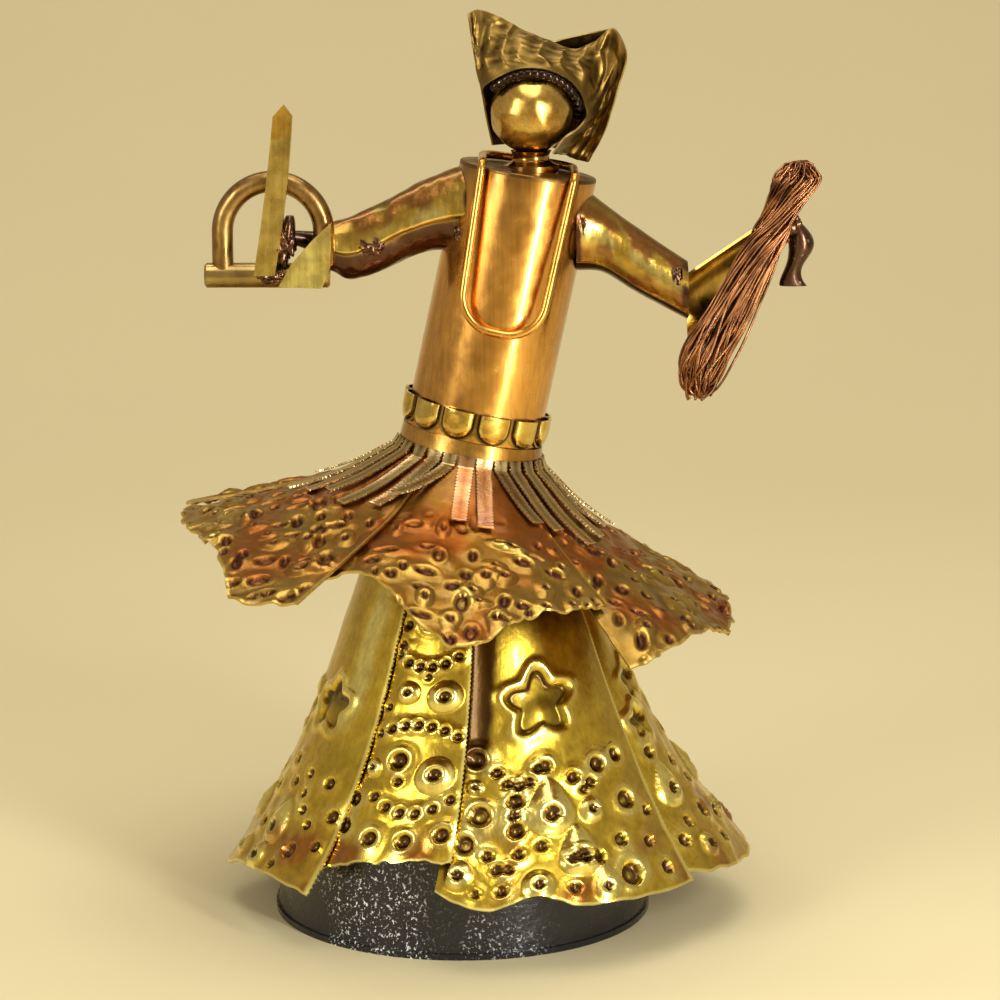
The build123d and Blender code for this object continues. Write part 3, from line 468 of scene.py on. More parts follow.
def brushed_metal(name, shade, dark, roughness=0.22, streaks=(1, 1, 0.05), patches=30.0, hammer=0.18, specks=0.0,
                  coat=0.0, fade=None):
    """Rubbed metal: long fine streaks one way, slow changes of colour and shallow hammer marks.

    fade holds two heights in metres, and the colour that the metal turns to between them.
    """
    f = Finish(name, roughness=roughness, coat=coat)
    slow = f.ramp(f.noise(patches, 4.0, 0.6), (0.34, dark), (0.62, shade))
    if fade:
        low, high, above = fade
        height = f.sum("ADD", f.add("ShaderNodeSeparateXYZ", {"Vector": f.place}).outputs[2], f.wander(0.02, 60, 3.0))
        share = f.add("ShaderNodeMapRange", {"Value": height, "From Min": low, "From Max": high}).outputs[0]
        slow = f.mix(share, slow, above)
    streak = f.ramp(f.noise(700, 3.0, 0.65, streaks), (0.32, 0.62), (0.66, 1.0))
    colouring = f.mix(0.7, slow, streak, "MULTIPLY")
    if specks:
        spot = f.ramp(f.noise(620, 2.0, 0.5), (0.66, 0.0), (0.72, specks))
        colouring = f.mix(spot, colouring, (0.95, 0.88, 0.72))
    rough = f.ramp(f.noise(160, 4.0), (0.3, roughness * 0.7), (0.7, roughness * 1.6))
    normal = f.bump(f.noise(110, 1.5), hammer, 0.9)
    normal = f.bump(f.noise(800, 2.0, 0.6, streaks), 0.1, 0.15, normal)
    return f.done(colouring, rough, normal)


def rub_node(node, name, shade, dark, **rest):
    """Gives a carried-over node a rubbed metal of its own."""
    coat_node(node, brushed_metal(name, shade, dark, **rest))


def lacquer(name, shade):
    """Black gloss with a faint orange peel, and pale flecks in bands that thin out to one side, a painted reflection of
    a window.
    """
    f = Finish(name, metallic=0.0, roughness=0.16)
    flecks = f.ramp(f.noise(900, 3.0, 0.7), (0.58, 0.0), (0.63, 1.0))
    # Pale flecks painted in bands across the front, strongest left of the middle, as a painted reflection of a window.
    across = f.add("ShaderNodeSeparateXYZ", {"Vector": f.place}).outputs[0]
    wander = f.sum("ADD", f.sum("MULTIPLY", across, 6.25), f.sum("MULTIPLY", f.noise(34, 3.0), 0.6))
    wander = f.sum("ADD", wander, 0.35)
    patches = f.ramp(wander, (0.34, 0.0), (0.47, 1.0), (0.56, 0.1), (0.66, 0.0), (0.74, 0.5), (0.82, 0.0))
    shade = f.mix(f.sum("MULTIPLY", flecks, patches), shade, (0.85, 0.85, 0.86))
    rough = f.ramp(f.noise(340, 3.0), (0.3, 0.08), (0.7, 0.3))
    return f.done(shade, rough, f.bump(f.noise(380, 3.0, 0.6), 0.3, 0.7))


def plain(name, shade):
    """A matt wall, a touch uneven in tone."""
    f = Finish(name, metallic=0.0, roughness=0.75)
    return f.done(f.ramp(f.noise(2.5, 2.0), (0.3, scaled(shade, 0.97)), (0.7, shade)))


# ---- punched and raised work ----
# Each shape gives a height in millimetres and a darkening from 0 to 1, patina in its pits and painted shade in the
# flower's groove, for points at a reach and turn from its centre.
def pit(reach, turn, size):
    """A punched pit: a stained round bowl, a rolled lip round it and a soft swelling outside."""
    part = reach / size
    bowl = np.clip(1 - part ** 2, 0, 1)
    height = -0.58 * bowl + 0.20 * np.exp(-((part - 1.22) / 0.3) ** 2) + 0.10 * np.exp(-((part - 1.7) / 0.6) ** 2)
    return size * height, step(1.02, 0.8, part)


def swell(reach, turn, size):
    """A broad puffed dome with a pit punched in its middle."""
    part = reach / size
    height, patina_and_shade = pit(reach, turn, 0.42 * size)
    return height + 0.34 * size * np.clip(1 - part ** 2, 0, 1) ** 0.7, patina_and_shade


def ring(reach, turn, size):
    """A wide pit with a bead left standing in it."""
    height, patina_and_shade = pit(reach, turn, 0.8 * size)
    bead = np.exp(-(reach / (0.34 * size)) ** 2)
    return height + 0.34 * size * bead, patina_and_shade * (1 - 0.8 * bead)


def flower(reach, turn, size):
    """A five-lobed flower pressed in: its edge lies at size * (0.83 + 0.17 cos 5t), rolled outside it."""
    inside = size * (0.83 + 0.17 * np.cos(5 * (turn + pi / 2))) - reach
    below = np.hypot(reach * np.cos(turn), reach * np.sin(turn) - 0.34 * size)
    height = (-1.35 * step(-0.6, 2.2, inside) + (0.8 - 0.35 * np.sin(turn)) * np.exp(-((inside + 1.9) / 1.9) ** 2)
              + 1.5 * np.exp(-(below / (0.42 * size)) ** 2))
    # Painted shade in the upper half of the groove, where the top wall faces down.
    return height, step(-0.2, 0.9, inside) * step(4.8, 2.2, inside) * (0.5 - 0.5 * np.sin(turn))


def petal(reach, turn, size):
    """A drop-shaped swelling, point up, with a pit near its foot."""
    across, up = reach * np.cos(turn), -reach * np.sin(turn)
    width = size * np.clip(0.95 - 0.34 * up / size, 0.25, 1.3)
    part = np.sqrt((across / width) ** 2 + (up / (1.25 * size)) ** 2)
    height, patina_and_shade = pit(np.hypot(across, up + 0.35 * size), turn, 0.4 * size)
    return height + 0.30 * size * np.clip(1 - part ** 2, 0, 1) ** 0.65, patina_and_shade


def work_over(spots, shape_of):
    """Adds up the heights of many shapes and takes the deepest darkening, patina and painted shade alike; shape_of
    places each one on the sheet.
    """
    height, patina_and_shade = 0.0, 0.0
    for shape, first, second, size in spots:
        reach, turn = shape_of(first, second)
        raised, stained = shape(reach, turn, size)
        near = step(2.6 * size, 1.9 * size, reach)
        height = height + raised * near
        patina_and_shade = np.maximum(patina_and_shade, stained * near)
    return height, patina_and_shade


def arc_of(start, end, drop, sag, size, count):
    """A row along a shallow arc: start and end across the gore, drop and sag down it."""
    part = np.arange(count) / (count - 1)
    return list(zip(start + (end - start) * part, drop + sag * 4 * part * (1 - part), [size] * count))


# For each shape: how far across the gore, how far down it and the size in millimetres.
LEFT_WORK = {
    flower: [(0.61, 79, 9.5), (0.28, 84, 8.5)],
    petal: [(0.63, 116, 6.4), (0.26, 117, 6.0)],
    ring: [(0.80, 122, 3.6)],
    swell: [(0.62, 127, 4.8), (0.44, 128, 4.2)],
    pit: [
        (0.50, 98, 2.5), (0.41, 108, 2.6), (0.68, 100, 2.1), (0.70, 106, 2.1), (0.84, 101, 2.4), (0.58, 104, 1.9),
        (0.94, 110, 2.6), (0.75, 110.5, 2.1), (0.82, 114, 2.1), (0.92, 119, 2.2), (0.74, 127, 2.0), (0.48, 119, 2.4),
        (0.3, 104, 2.4), (0.16, 108, 2.2), (0.15, 125, 3.0),
    ],
}
MID_WORK = {
    swell: [(0.76, 72, 5.6), (0.37, 71, 3.8), (0.77, 95, 6.2), (0.20, 94, 3.4)],
    pit: [
        (0.24, 44, 2.3), (0.2, 51, 2.1), (0.5, 50, 2.6), (0.18, 57, 1.9), (0.78, 45, 2.0), (0.56, 66, 1.5),
        (0.18, 76, 1.8), (0.43, 91, 3.2), (0.47, 97, 1.8), (0.12, 104, 2.6),
        *arc_of(0.17, 0.86, 60, 3.2, 1.9, 6), *arc_of(0.16, 0.92, 84, -3.6, 1.9, 7),
        *arc_of(0.30, 0.92, 102, 4.0, 2.0, 6), *arc_of(0.12, 0.9, 112, 2.0, 2.8, 4),
    ],
}
CENTRE_WORK = {
    flower: [(0.45, 76, 12.0)],
    petal: [(0.44, 106, 7.6), (0.54, 119, 6.6), (0.62, 129, 4.6)],
    ring: [(0.14, 107, 4.4), (0.82, 109, 4.3), (0.09, 115, 4.0), (0.73, 119, 3.2), (0.73, 128.5, 5.0)],
    swell: [(0.11, 99, 2.6), (0.63, 109, 4.4), (0.08, 123.5, 4.8), (0.37, 127, 4.9)],
    pit: [
        (0.11, 91, 3.1), (0.435, 94.5, 2.5), (0.57, 99, 2.4), (0.65, 101.5, 2.2), (0.71, 97, 3.0), (0.61, 103, 1.7),
        (0.84, 96, 2.7), (0.29, 103.5, 2.9), (0.28, 107.5, 2.2), (0.29, 111.5, 3.0), (0.39, 116.5, 2.2),
        (0.505, 121.5, 2.2), (0.555, 122, 2.2), (0.61, 122, 2.6), (0.24, 127.5, 2.2), (0.86, 122, 2.3),
        (0.92, 114, 2.2), (0.90, 130, 2.6), (0.50, 129, 2.0), (0.15, 128, 1.7),
        *arc_of(0.205, 0.40, 95, 4.4, 2.1, 5), *arc_of(0.18, 0.30, 118, 4.4, 2.1, 4),
    ],
}
RIGHT_WORK = {
    flower: [(0.34, 79, 7.0), (0.22, 91, 6.0), (0.66, 84, 9.0)],
    petal: [(0.20, 110, 6.8), (0.66, 112, 6.6)],
    ring: [(0.37, 122, 3.8), (0.84, 111, 4.0)],
    swell: [(0.24, 130, 4.2), (0.74, 132, 4.0)],
    pit: [
        (0.17, 100, 2.6), (0.36, 106, 2.4), (0.44, 113, 2.2), (0.2, 122, 2.4), (0.12, 126, 2.6), (0.39, 131, 2.2),
        (0.5, 126, 2.6), (0.56, 98, 2.4), (0.78, 98, 2.4), *arc_of(0.54, 0.88, 124, 3.0, 2.4, 6),
    ],
}


def scattered_work(seed):
    """Work for a gore that faces away: a flower above, then rows of mixed bosses down to the hem."""
    rng = np.random.default_rng(seed)
    spots = [(flower, rng.uniform(0.42, 0.6), 78 + rng.uniform(-3, 3), 10.5)]
    for row, drop in enumerate(range(94, 132, 7)):
        count = 4 + row
        for i in range(count):
            shape = (pit, pit, ring, pit, petal, swell)[rng.integers(6)]
            size = rng.uniform(2.0, 2.9) if shape is pit else rng.uniform(3.4, 5.0)
            across = 0.12 + 0.78 * (i + 0.5 * (row % 2)) / count + rng.uniform(-0.02, 0.02)
            spots.append((shape, across, drop + rng.uniform(-1.6, 1.6), size))
    return spots


SHOWN_WORK = [[(shape, *spot) for shape, spots in work.items() for spot in spots]
              for work in (LEFT_WORK, MID_WORK, CENTRE_WORK, RIGHT_WORK)]
GORE_WORK = SHOWN_WORK + [scattered_work(seed) for seed in (5, 6, 7)]


def lapped(sheets, number, rows, columns):
    """One of the sheets that lap round a skirt: where it starts, its width in degrees, shares across it and down it,
    and the smooth curve through the cuts of its hem."""
    start, hem = sheets[number]
    end = sheets[number + 1][0] if number + 1 < len(sheets) else sheets[0][0] + 360
    across, down = np.linspace(0, 1, columns)[None, :], np.linspace(0, 1, rows)[:, None]
    return start, end + LAP_ANGLE - start, across, down, blend_through(hem, across[0] * (len(hem) - 1))[None, :]


def tuck(turned, angle):
    """How far a first edge is let in below its neighbour: 1 at the edge, by a square law to 0 at an angle."""
    return np.clip(1 - turned / angle, 0, None) ** 2


def make_gore(number, settings, finish):
    """A gore: a turned profile, leaned, with swirling seams, a crown, a tucked first edge and its raised work."""
    start, width, across, down, hem = lapped(GORES, number, 290, 84 if number != 1 else 64)
    hem = hem + 0.55 * soft_hills(across * 40, across * 0, 2.2, 40 + number)
    drop = SKIRT_TOP + (hem - SKIRT_TOP) * down
    recess = (RECESS_TOP + RECESS_GROWTH * (drop - SKIRT_TOP)) * tuck(width * across, RECESS_ANGLE)
    radius = profile_at(SKIRT_PROFILE, drop) - recess + GORE_CROWN * down * np.sin(pi * across)
    teeth = settings.tooth_depth / MM * (np.abs((drop * MM / settings.tooth_pitch) % 1 * 2 - 1) * 2 - 1)
    turn = start + width * across + SEAM_SWIRL * (drop - SWIRL_DROP)
    turn = turn + np.degrees(teeth / 2 / radius) * np.where(across >= 1, 1.0, 0.0) * step(20, 30, drop)
    points = leaning(SKIRT_APEX, SKIRT_TILT, radius, np.radians(turn), -drop)

    def placed(spot_across, spot_drop):
        spot_radius = profile_at(SKIRT_PROFILE, np.array(float(spot_drop)))
        x, y = (across - spot_across) * radians(width) * spot_radius, (drop - spot_drop) * SLOPE_STRETCH
        return np.hypot(x, y), np.arctan2(y, x)

    raised, patina_and_shade = work_over(GORE_WORK[number], placed)
    side, far_side = across * radians(width) * radius, (1 - across) * radians(width) * radius
    free = step(1.5, 4.0, side) * step(0.4, 1.8, far_side)
    puffs = 0.30 * soft_hills(side, drop, 8.0, 60 + number) + 0.10 * soft_hills(side, drop, 3.0, 70 + number)
    low = step(60, 118, drop)
    height = (raised * settings.boss_height + puffs * (0.25 + low)) * free
    # Painted shade and patina down the tucked first edge of the third gore, under its neighbour's edge.
    tucked = step(13.0, 8.5, side) * (0.25 + 0.75 * step(112, 84, drop)) * (number == 2)
    # A painted highlight down the right of the left gore, as if a flute there caught the light; the sheet is not bent
    # for it.
    painted_flute_highlight = 0.5 * np.exp(-((across - 0.78) / 0.10) ** 2) * step(34, 46, drop) * step(92, 70, drop) * (number == 0)
    # Painted shadow over the top of each gore, under the overskirt, deepest on the third gore.
    painted_shadow_under_overskirt = step(72, 44, drop) * (0.8 if number == 2 else 0.3)
    # A painted highlight along the hem and the last, lapping edge.
    painted_edge_highlight = np.zeros_like(height)
    painted_edge_highlight[-2:] = painted_edge_highlight[:, -2:] = 0.9
    # Raised work is painted brighter as a highlight, and a touch brighter low on the skirt.
    marks = {
        "relief": np.clip(0.52 + 0.36 * height + 0.05 * low + painted_flute_highlight, 0, 1),
        "patina_and_shade": np.clip(np.maximum(np.maximum(patina_and_shade * free, 0.85 * tucked), painted_shadow_under_overskirt), 0, 1),
        "warmth": np.clip(step(100, 126, drop) * (0.42 + soft_hills(side, drop, 12.0, 80 + number)), 0, 1),
        "painted_edge_highlight": painted_edge_highlight,
    }
    sheet(f"raised_gore_{number + 1}", points + outward(points) * height[..., None], marks, settings.gauge / MM,
          finish, f"underskirt_gore_{number + 1}")


# ---- overskirt, straps and belt ----
def over_drop(radius, turn):
    """How far the overskirt hangs below the waist: its profile, and ripples that grow with the radius cubed."""
    ripples = np.cos(np.radians(turn * RIPPLE_COUNT + RIPPLE_TURN))
    return profile_at(OVER_PROFILE, radius) + RIPPLE_HEIGHT * (radius / OVER_PROFILE[-1][0]) ** 3 * ripples


def hammer_work(x, y, seed):
    """Hammer work: pits and swellings, jittered off a grid, over winding folds."""
    rng = np.random.default_rng(seed)
    spots = []
    for row, cy in enumerate(np.arange(y.min(), y.max(), HAMMER_PITCH)):
        for cx in np.arange(x.min() + (row % 2) * HAMMER_PITCH / 2, x.max(), HAMMER_PITCH):
            shape = (pit, pit, pit, ring, swell, petal)[rng.integers(6)]
            size = rng.uniform(1.7, 2.9) if shape is pit else rng.uniform(3.0, 4.6)
            moved = [at + rng.uniform(-0.4, 0.4) * HAMMER_PITCH for at in (cx, cy)]
            spots.append((shape, *moved, size))

    def placed(cx, cy):
        stretch = 1 + 0.35 * np.sin(cx * 1.7 + cy)
        return np.hypot((x - cx) * stretch, (y - cy) / stretch), np.arctan2(y - cy, x - cx)

    height, patina_and_shade = work_over(spots, placed)
    warp = 5.0 * soft_hills(x, y, 16.0, seed) + 2.0 * soft_hills(x, y, 6.0, seed + 1)
    folds = np.abs(np.sin((x * 0.5 + y * 0.62 + warp) / 4.8)) ** 1.5
    hills = 0.45 * soft_hills(x, y, 7.0, seed + 2) + 0.05 * soft_hills(x, y, 2.4, seed + 3)
    # Patina in the pits, and painted shade down the troughs of the folds.
    return 0.85 * height - 0.35 * folds + hills, np.maximum(patina_and_shade * 0.95, 0.35 * step(0.75, 1.0, folds))


def make_panel(number, settings, finish):
    """A panel of the overskirt: the flying profile, hammered all over, with a ragged hem and a painted highlight along
    its cut edges.
    """
    start, width, across, out, reach = lapped(PANELS, number, 120, 190)
    reach = reach + 0.8 * soft_hills(across * 100, across * 0, 3.0, 90 + number)
    first = OVER_PROFILE[0][0]
    radius = first + 0.1 + (reach - first) * out
    turn = start + width * across
    recess = (OVER_RECESS + OVER_RECESS_GROWTH * (radius - first)) * tuck(width * across, OVER_RECESS_ANGLE)
    angle = np.radians(turn)
    points = leaning(OVER_CENTRE, OVER_LEAN, radius, angle, -(over_drop(radius, turn) + recess))
    x, y = radius * np.cos(angle) + 200, radius * np.sin(angle) + 200
    height, patina_and_shade = hammer_work(x, y, 100 + 10 * number)
    side, far_side = across * radians(width) * radius, (1 - across) * radians(width) * radius
    free = step(0.5, 3.5, far_side) * (0.25 + 0.75 * step(2.0, 9.0, side)) * step(36, 54, radius)
    height = height * free * 0.9 * settings.hammer_height
    # A painted highlight along the hem and the lapping edge.
    painted_edge_highlight = np.zeros_like(height)
    painted_edge_highlight[-2:], painted_edge_highlight[:, -2:] = 1.0, 0.8
    # Hammered tops are painted brighter as a highlight; near the waist the sheet gets painted shade round and under the
    # straps.
    marks = {
        "relief": np.clip(0.50 + 0.30 * height, 0, 1),
        "patina_and_shade": np.clip(np.maximum(patina_and_shade * free * 0.9, step(46, 31, radius) * 0.42), 0, 1),
        "painted_edge_highlight": painted_edge_highlight,
        "warmth": np.clip(0.9 * step(74, 44, radius) + 0.12 + 0.8 * soft_hills(x, y, 15.0, 7), 0, 1),
    }
    sheet(f"hammered_panel_{number + 1}", points + outward(points) * height[..., None], marks, settings.gauge / MM,
          finish, f"overskirt_panel_{number + 1}")


def make_strap(number, settings, finish, slot, width):
    """A strap: a ribbon down the collar and out over the overskirt, with snipped teeth down both sides."""
    waist_angle, end_angle, reach, lift = STRAPS[number]
    out, edge = np.linspace(0, 1, 76)[:, None], np.array((-1, -0.88, 0, 0.88, 1))[None, :]
    radius = STRAP_START + (reach - STRAP_START) * out
    rise = STRAP_LIFT + lift * out ** 1.5 - over_drop(radius, waist_angle + (end_angle - waist_angle) * out)
    rise = rise + 0.5 * np.sin(pi * out)
    collar = np.linspace(0.45, 1, 8)[:-1, None]
    radius = np.concatenate([STRAP_TOP_RADIUS + (STRAP_START - STRAP_TOP_RADIUS) * collar ** 1.6, radius])
    rise = np.concatenate([STRAP_TOP_RISE + (rise[0, 0] - STRAP_TOP_RISE) * collar, rise])
    out = np.concatenate([collar * 0, out])
    length = np.concatenate([[0.0], np.cumsum(np.hypot(np.diff(radius[:, 0]), np.diff(rise[:, 0])))])[:, None]
    teeth = settings.tooth_depth / MM * (np.abs((length * MM / settings.tooth_pitch) % 1 * 2 - 1) - 0.5)
    half = width / 2 + teeth * (np.abs(edge) > 0.95)
    angle = np.radians(waist_angle + (end_angle - waist_angle) * out) + edge * half / radius
    points = leaning(OVER_CENTRE, OVER_LEAN, radius, angle, rise - 0.12 * (1 - edge ** 2))
    even = np.ones(points.shape[:2])
    # A painted highlight down both snipped edges, stronger at the cut end.
    painted_edge_highlight = even * (np.abs(edge) > 0.8) * 0.55
    painted_edge_highlight[-2:] = 0.9
    # The top of the strap gets painted shade, where it runs up under the belt.
    marks = {"relief": 0.5 + 0.14 * soft_hills(length, edge * 2 + 10, 3.0, number), "painted_edge_highlight": painted_edge_highlight,
             "patina_and_shade": even * step(3.5, 0, length) * 0.6, "warmth": even * step(0.4, 1.0, out) * (number % 3 == 1)}
    sheet(f"snipped_strap_{number + 1:02d}", points, marks, STRAP_GAUGE, finish, f"strap_{number + 1:02d}")


def make_belt(finish):
    """The belt: a leaning ring whose tongues swell outwards, square above and round below."""
    turn, down = full_turn(TONGUES * 34), np.linspace(0, 1, 56)[:, None]
    part_way = (turn / (2 * pi) * TONGUES) % 1 - 0.5
    spread = np.abs(part_way) * 2 * pi * BELT_RADIUS / TONGUES / (TONGUE_WIDTH / 2)
    height = BELT_HEIGHT / 2 - (BELT_HEIGHT - 1.6 * np.clip(spread, 0, 1.2) ** 3) * down
    bend = TONGUE_WIDTH / 2 - TONGUE_HEIGHT / 2
    below = np.clip((bend - height) / (TONGUE_WIDTH / 2), 0, None)
    reach = np.sqrt(spread ** 2 + below ** 2)
    pillow = np.clip(1 - reach ** 2.6, 0, 1) ** 0.55
    dents = soft_hills(turn * BELT_RADIUS, height + 20, 3.4, 3)
    radius = BELT_RADIUS + TONGUE_RISE * 1.25 * pillow + 0.22 * dents * pillow - 0.25 * (reach > 1)
    # Painted shade in the groove round each tongue and between the tongues; a painted highlight on each tongue's swell
    # and just inside its edge.
    groove = np.exp(-((reach - 1.0) / 0.10) ** 2)
    marks = {"relief": np.clip(0.42 + 0.34 * pillow + 0.12 * dents, 0, 1), "patina_and_shade": 0.9 * groove + 0.35 * (reach > 1),
             "painted_edge_highlight": 0.5 * np.exp(-((reach - 0.84) / 0.07) ** 2)}
    sheet("scaled_belt", leaning(BELT_CENTRE, BELT_LEAN, radius, turn, height), marks, BELT_GAUGE,
          finish, "waist_belt", wrap=True)


# ---- head, scarf and sleeves ----
def faceted_ball(count):
    """A ball planished flat in many small places: the nearest of a set of planes round it, softly joined."""
    ways = ball_rings(110, 160)
    rng = np.random.default_rng(21)
    height = 1 - 2 * (np.arange(count) + 0.5) / count
    turn = np.arange(count) * GOLDEN_TURN + rng.uniform(-0.3, 0.3, count)
    level = np.sqrt(1 - height ** 2)
    facing = np.clip(ways @ points_of(level * np.cos(turn), level * np.sin(turn), height).T, 0.3, None)
    reach = HEAD_RADIUS * rng.uniform(0.975, 0.995, count) / facing
    joined = -np.log(np.exp(-4.0 * (reach - HEAD_RADIUS)).sum(axis=-1)) / 4.0 + HEAD_RADIUS
    return HEAD_CENTRE + ways * np.minimum(joined, HEAD_RADIUS)[..., None]


def sheet_through(lines, rows, columns):
    """A smooth sheet through lines of points: cubic along each line, then cubic from line to line."""
    lines = np.asarray(lines, dtype=float)
    along = blend_through(np.moveaxis(lines, 1, 0), np.linspace(0, lines.shape[1] - 1, columns))
    return blend_through(np.moveaxis(along, 1, 0), np.linspace(0, lines.shape[0] - 1, rows))


def back_lines():
    """Lines of the scarf's back: straight from edge to middle to edge, bulged backwards by a sine."""
    lines = []
    for left, middle, right, bulge in SCARF_BACK:
        across = np.linspace(0, 1, 9)
        line = np.stack([np.interp(across, (0, 0.5, 1), values) for values in zip(left, middle, right)], axis=-1)
        line[:, 1] += SCARF_BACK_GAP + bulge * np.sin(pi * across) ** 0.7
        lines.append(line)
    return lines


def creased(points, depth, run, seed, keep, first_edge_highlight, last_edge_highlight):
    """Creases that run one way over a sheet: ridges of warped waves, deepest where keep is 1, with a painted highlight
    on the ridges and side edges and painted shade in the troughs.
    """
    u = np.linspace(0, 1, points.shape[0])[:, None] * np.ones(points.shape[:2])
    v = np.linspace(0, 1, points.shape[1])[None, :] * np.ones(points.shape[:2])
    warp = soft_hills(u * 10, v * 4, 1.6, seed) + 0.5 * soft_hills(u * 30, v * 6, 1.5, seed + 1)
    ridges = 1 - np.abs(np.sin(run * u * pi + 1.7 * warp))
    height = depth * keep(u, v) * (ridges - 0.5 + 0.35 * soft_hills(u * 40, v * 30, 2.0, seed + 2))
    # A painted highlight along both side edges and on the ridges; painted shade in the troughs.
    painted_edge_highlight = np.zeros_like(height)
    painted_edge_highlight[:, 0], painted_edge_highlight[:, -1] = first_edge_highlight, last_edge_highlight
    marks = {"relief": np.clip(0.48 + 0.55 * height, 0, 1), "painted_edge_highlight": painted_edge_highlight, "patina_and_shade": np.clip(-1.3 * height - 0.1, 0, 0.8)}
    return points + outward(points) * height[..., None], marks


def make_sleeve(name, node, sections, fold, dents, finish):
    """A sleeve: ellipses carried along smooth section values, dented, its underside let in below a fold line."""
    sections = blend_through(sections, np.linspace(0, len(sections) - 1, 150))
    x, y, height, tall, deep = (sections[:, i][:, None] for i in range(5))
    turn = full_turn(150)
    under = step(pi + fold - 0.07, pi + fold + 0.07, turn) * (1 - step(2 * pi - 0.5, 2 * pi - 0.3, turn))
    out = 1 - 0.13 * under
    points = points_of(x, y + deep / 2 * np.cos(turn) * out, height + tall / 2 * np.sin(turn) * out)
    if points[0, 0, 0] < points[-1, 0, 0]:
        points, under, turn = (grid[:, ::-1] for grid in (points, under, turn))
    along = points[..., 0] + 200
    wave = soft_hills(along, turn * 9, 6.0, 51) + 0.5 * soft_hills(along, turn * 9, 2.5, 52)
    # A painted highlight in a band along the front of the sleeve.
    sheen = np.exp(-((turn - pi + 0.12) / 0.42) ** 2)
    part = np.linspace(0, 1, 150)[:, None]
    ends = (step(0.10, 0.02, part) + step(0.91, 0.98, part)) * np.clip(0.75 + wave, 0, 1)
    points = points + outward(points) * (dents * wave - 0.1)[..., None]
    # A painted highlight along the fold line.
    lip = np.exp(-((turn - pi - fold) / 0.07) ** 2) * np.ones_like(wave)
    # The underside gets painted shade and both ends are darker; the heat tint is kept off the painted highlight band.
    marks = {"relief": np.clip(0.42 + 0.3 * sheen + 0.16 * wave, 0, 1), "painted_edge_highlight": np.clip(lip * 0.5, 0, 1),
             "patina_and_shade": np.clip(0.95 * under + 0.2 * wave * under + 0.85 * ends, 0, 1),
             "warmth": np.clip(0.75 - sheen + wave, 0, 1)}
    sheet(name, points, marks, SLEEVE_GAUGE, finish, node, wrap=True)


# ---- operators ----
class DANCER_OT_plinth(bpy.types.Operator):
    """Finishes the black gloss plinth and the hidden pieces that it carries"""
    bl_idname = "dancer.plinth"
    bl_label = "Plinth"

    def execute(self, context):
        colours = context.scene.dancer_colours
        coat_node("base_plinth", lacquer("black_gloss", colours.lacquer))
        rub_node("support_rod", "rod_steel", (0.5, 0.5, 0.5), (0.3, 0.3, 0.3))
        rub_node("waist_block", "block_brass", colours.brass, colours.brass_hollow)
        return {"FINISHED"}


class DANCER_OT_underskirt(bpy.types.Operator):
    """Makes the raised gores of the underskirt"""
    bl_idname = "dancer.underskirt"
    bl_label = "Underskirt"

    def execute(self, context):
        colours = context.scene.dancer_colours
        finish = relief_metal(
            "raised_brass", colours.brass_hollow, (0.60, 0.425, 0.042), colours.brass, roughness=(0.36, 0.25),
            streaks=(1, 1, 0.06), tint=(0.42, 0.15, 0.02), coat=0.3)
        for number in range(len(GORES)):
            make_gore(number, context.scene.dancer_skirts, finish)
        return {"FINISHED"}


class DANCER_OT_overskirt(bpy.types.Operator):
    """Makes the hammered panels of the overskirt"""
    bl_idname = "dancer.overskirt"
    bl_label = "Overskirt"

    def execute(self, context):
        colours = context.scene.dancer_colours
        finish = relief_metal(
            "hammered_bronze", colours.bronze_hollow, colours.bronze, (0.56, 0.40, 0.10), roughness=(0.42, 0.30),
            tint=(0.33, 0.10, 0.016), coat=0.15)
        for number in range(len(PANELS)):
            make_panel(number, context.scene.dancer_skirts, finish)
        return {"FINISHED"}


class DANCER_OT_straps(bpy.types.Operator):
    """Makes the snipped straps round the waist"""
    bl_idname = "dancer.straps"
    bl_label = "Straps"

    def execute(self, context):
        bronze = relief_metal(
            "strap_bronze", context.scene.dancer_colours.bronze_hollow, (0.36, 0.235, 0.07), (0.76, 0.65, 0.38),
            tint=(0.42, 0.16, 0.05))
        copper = relief_metal(
            "strap_copper", (0.16, 0.05, 0.02), (0.50, 0.22, 0.08), (0.80, 0.56, 0.32), tint=(0.62, 0.30, 0.22))
        for number in range(len(STRAPS)):
            if number + 1 in COPPER_STRAPS:
                kind = copper, "copper", STRAP_WIDTH
            else:
                kind = bronze, "copper" if number + 1 in PALE_STRAPS else "bronzed_sheet", SIDE_STRAP_WIDTH
            make_strap(number, context.scene.dancer_skirts, *kind)
        return {"FINISHED"}


class DANCER_OT_waist(bpy.types.Operator):
    """Makes the belt and finishes the collar below it"""
    bl_idname = "dancer.waist"
    bl_label = "Waist"

    def execute(self, context):
        colours = context.scene.dancer_colours
        make_belt(relief_metal(
            "belt_brass", colours.brass_hollow, (0.48, 0.30, 0.05), colours.brass, roughness=(0.28, 0.15),
            tint=(0.5, 0.2, 0.03), coat=0.3))
        rub_node("waist_collar", "collar_brass", (0.56, 0.31, 0.06), (0.34, 0.13, 0.025), roughness=0.24,
                 streaks=(1, 1, 0.1), coat=0.3)
        return {"FINISHED"}


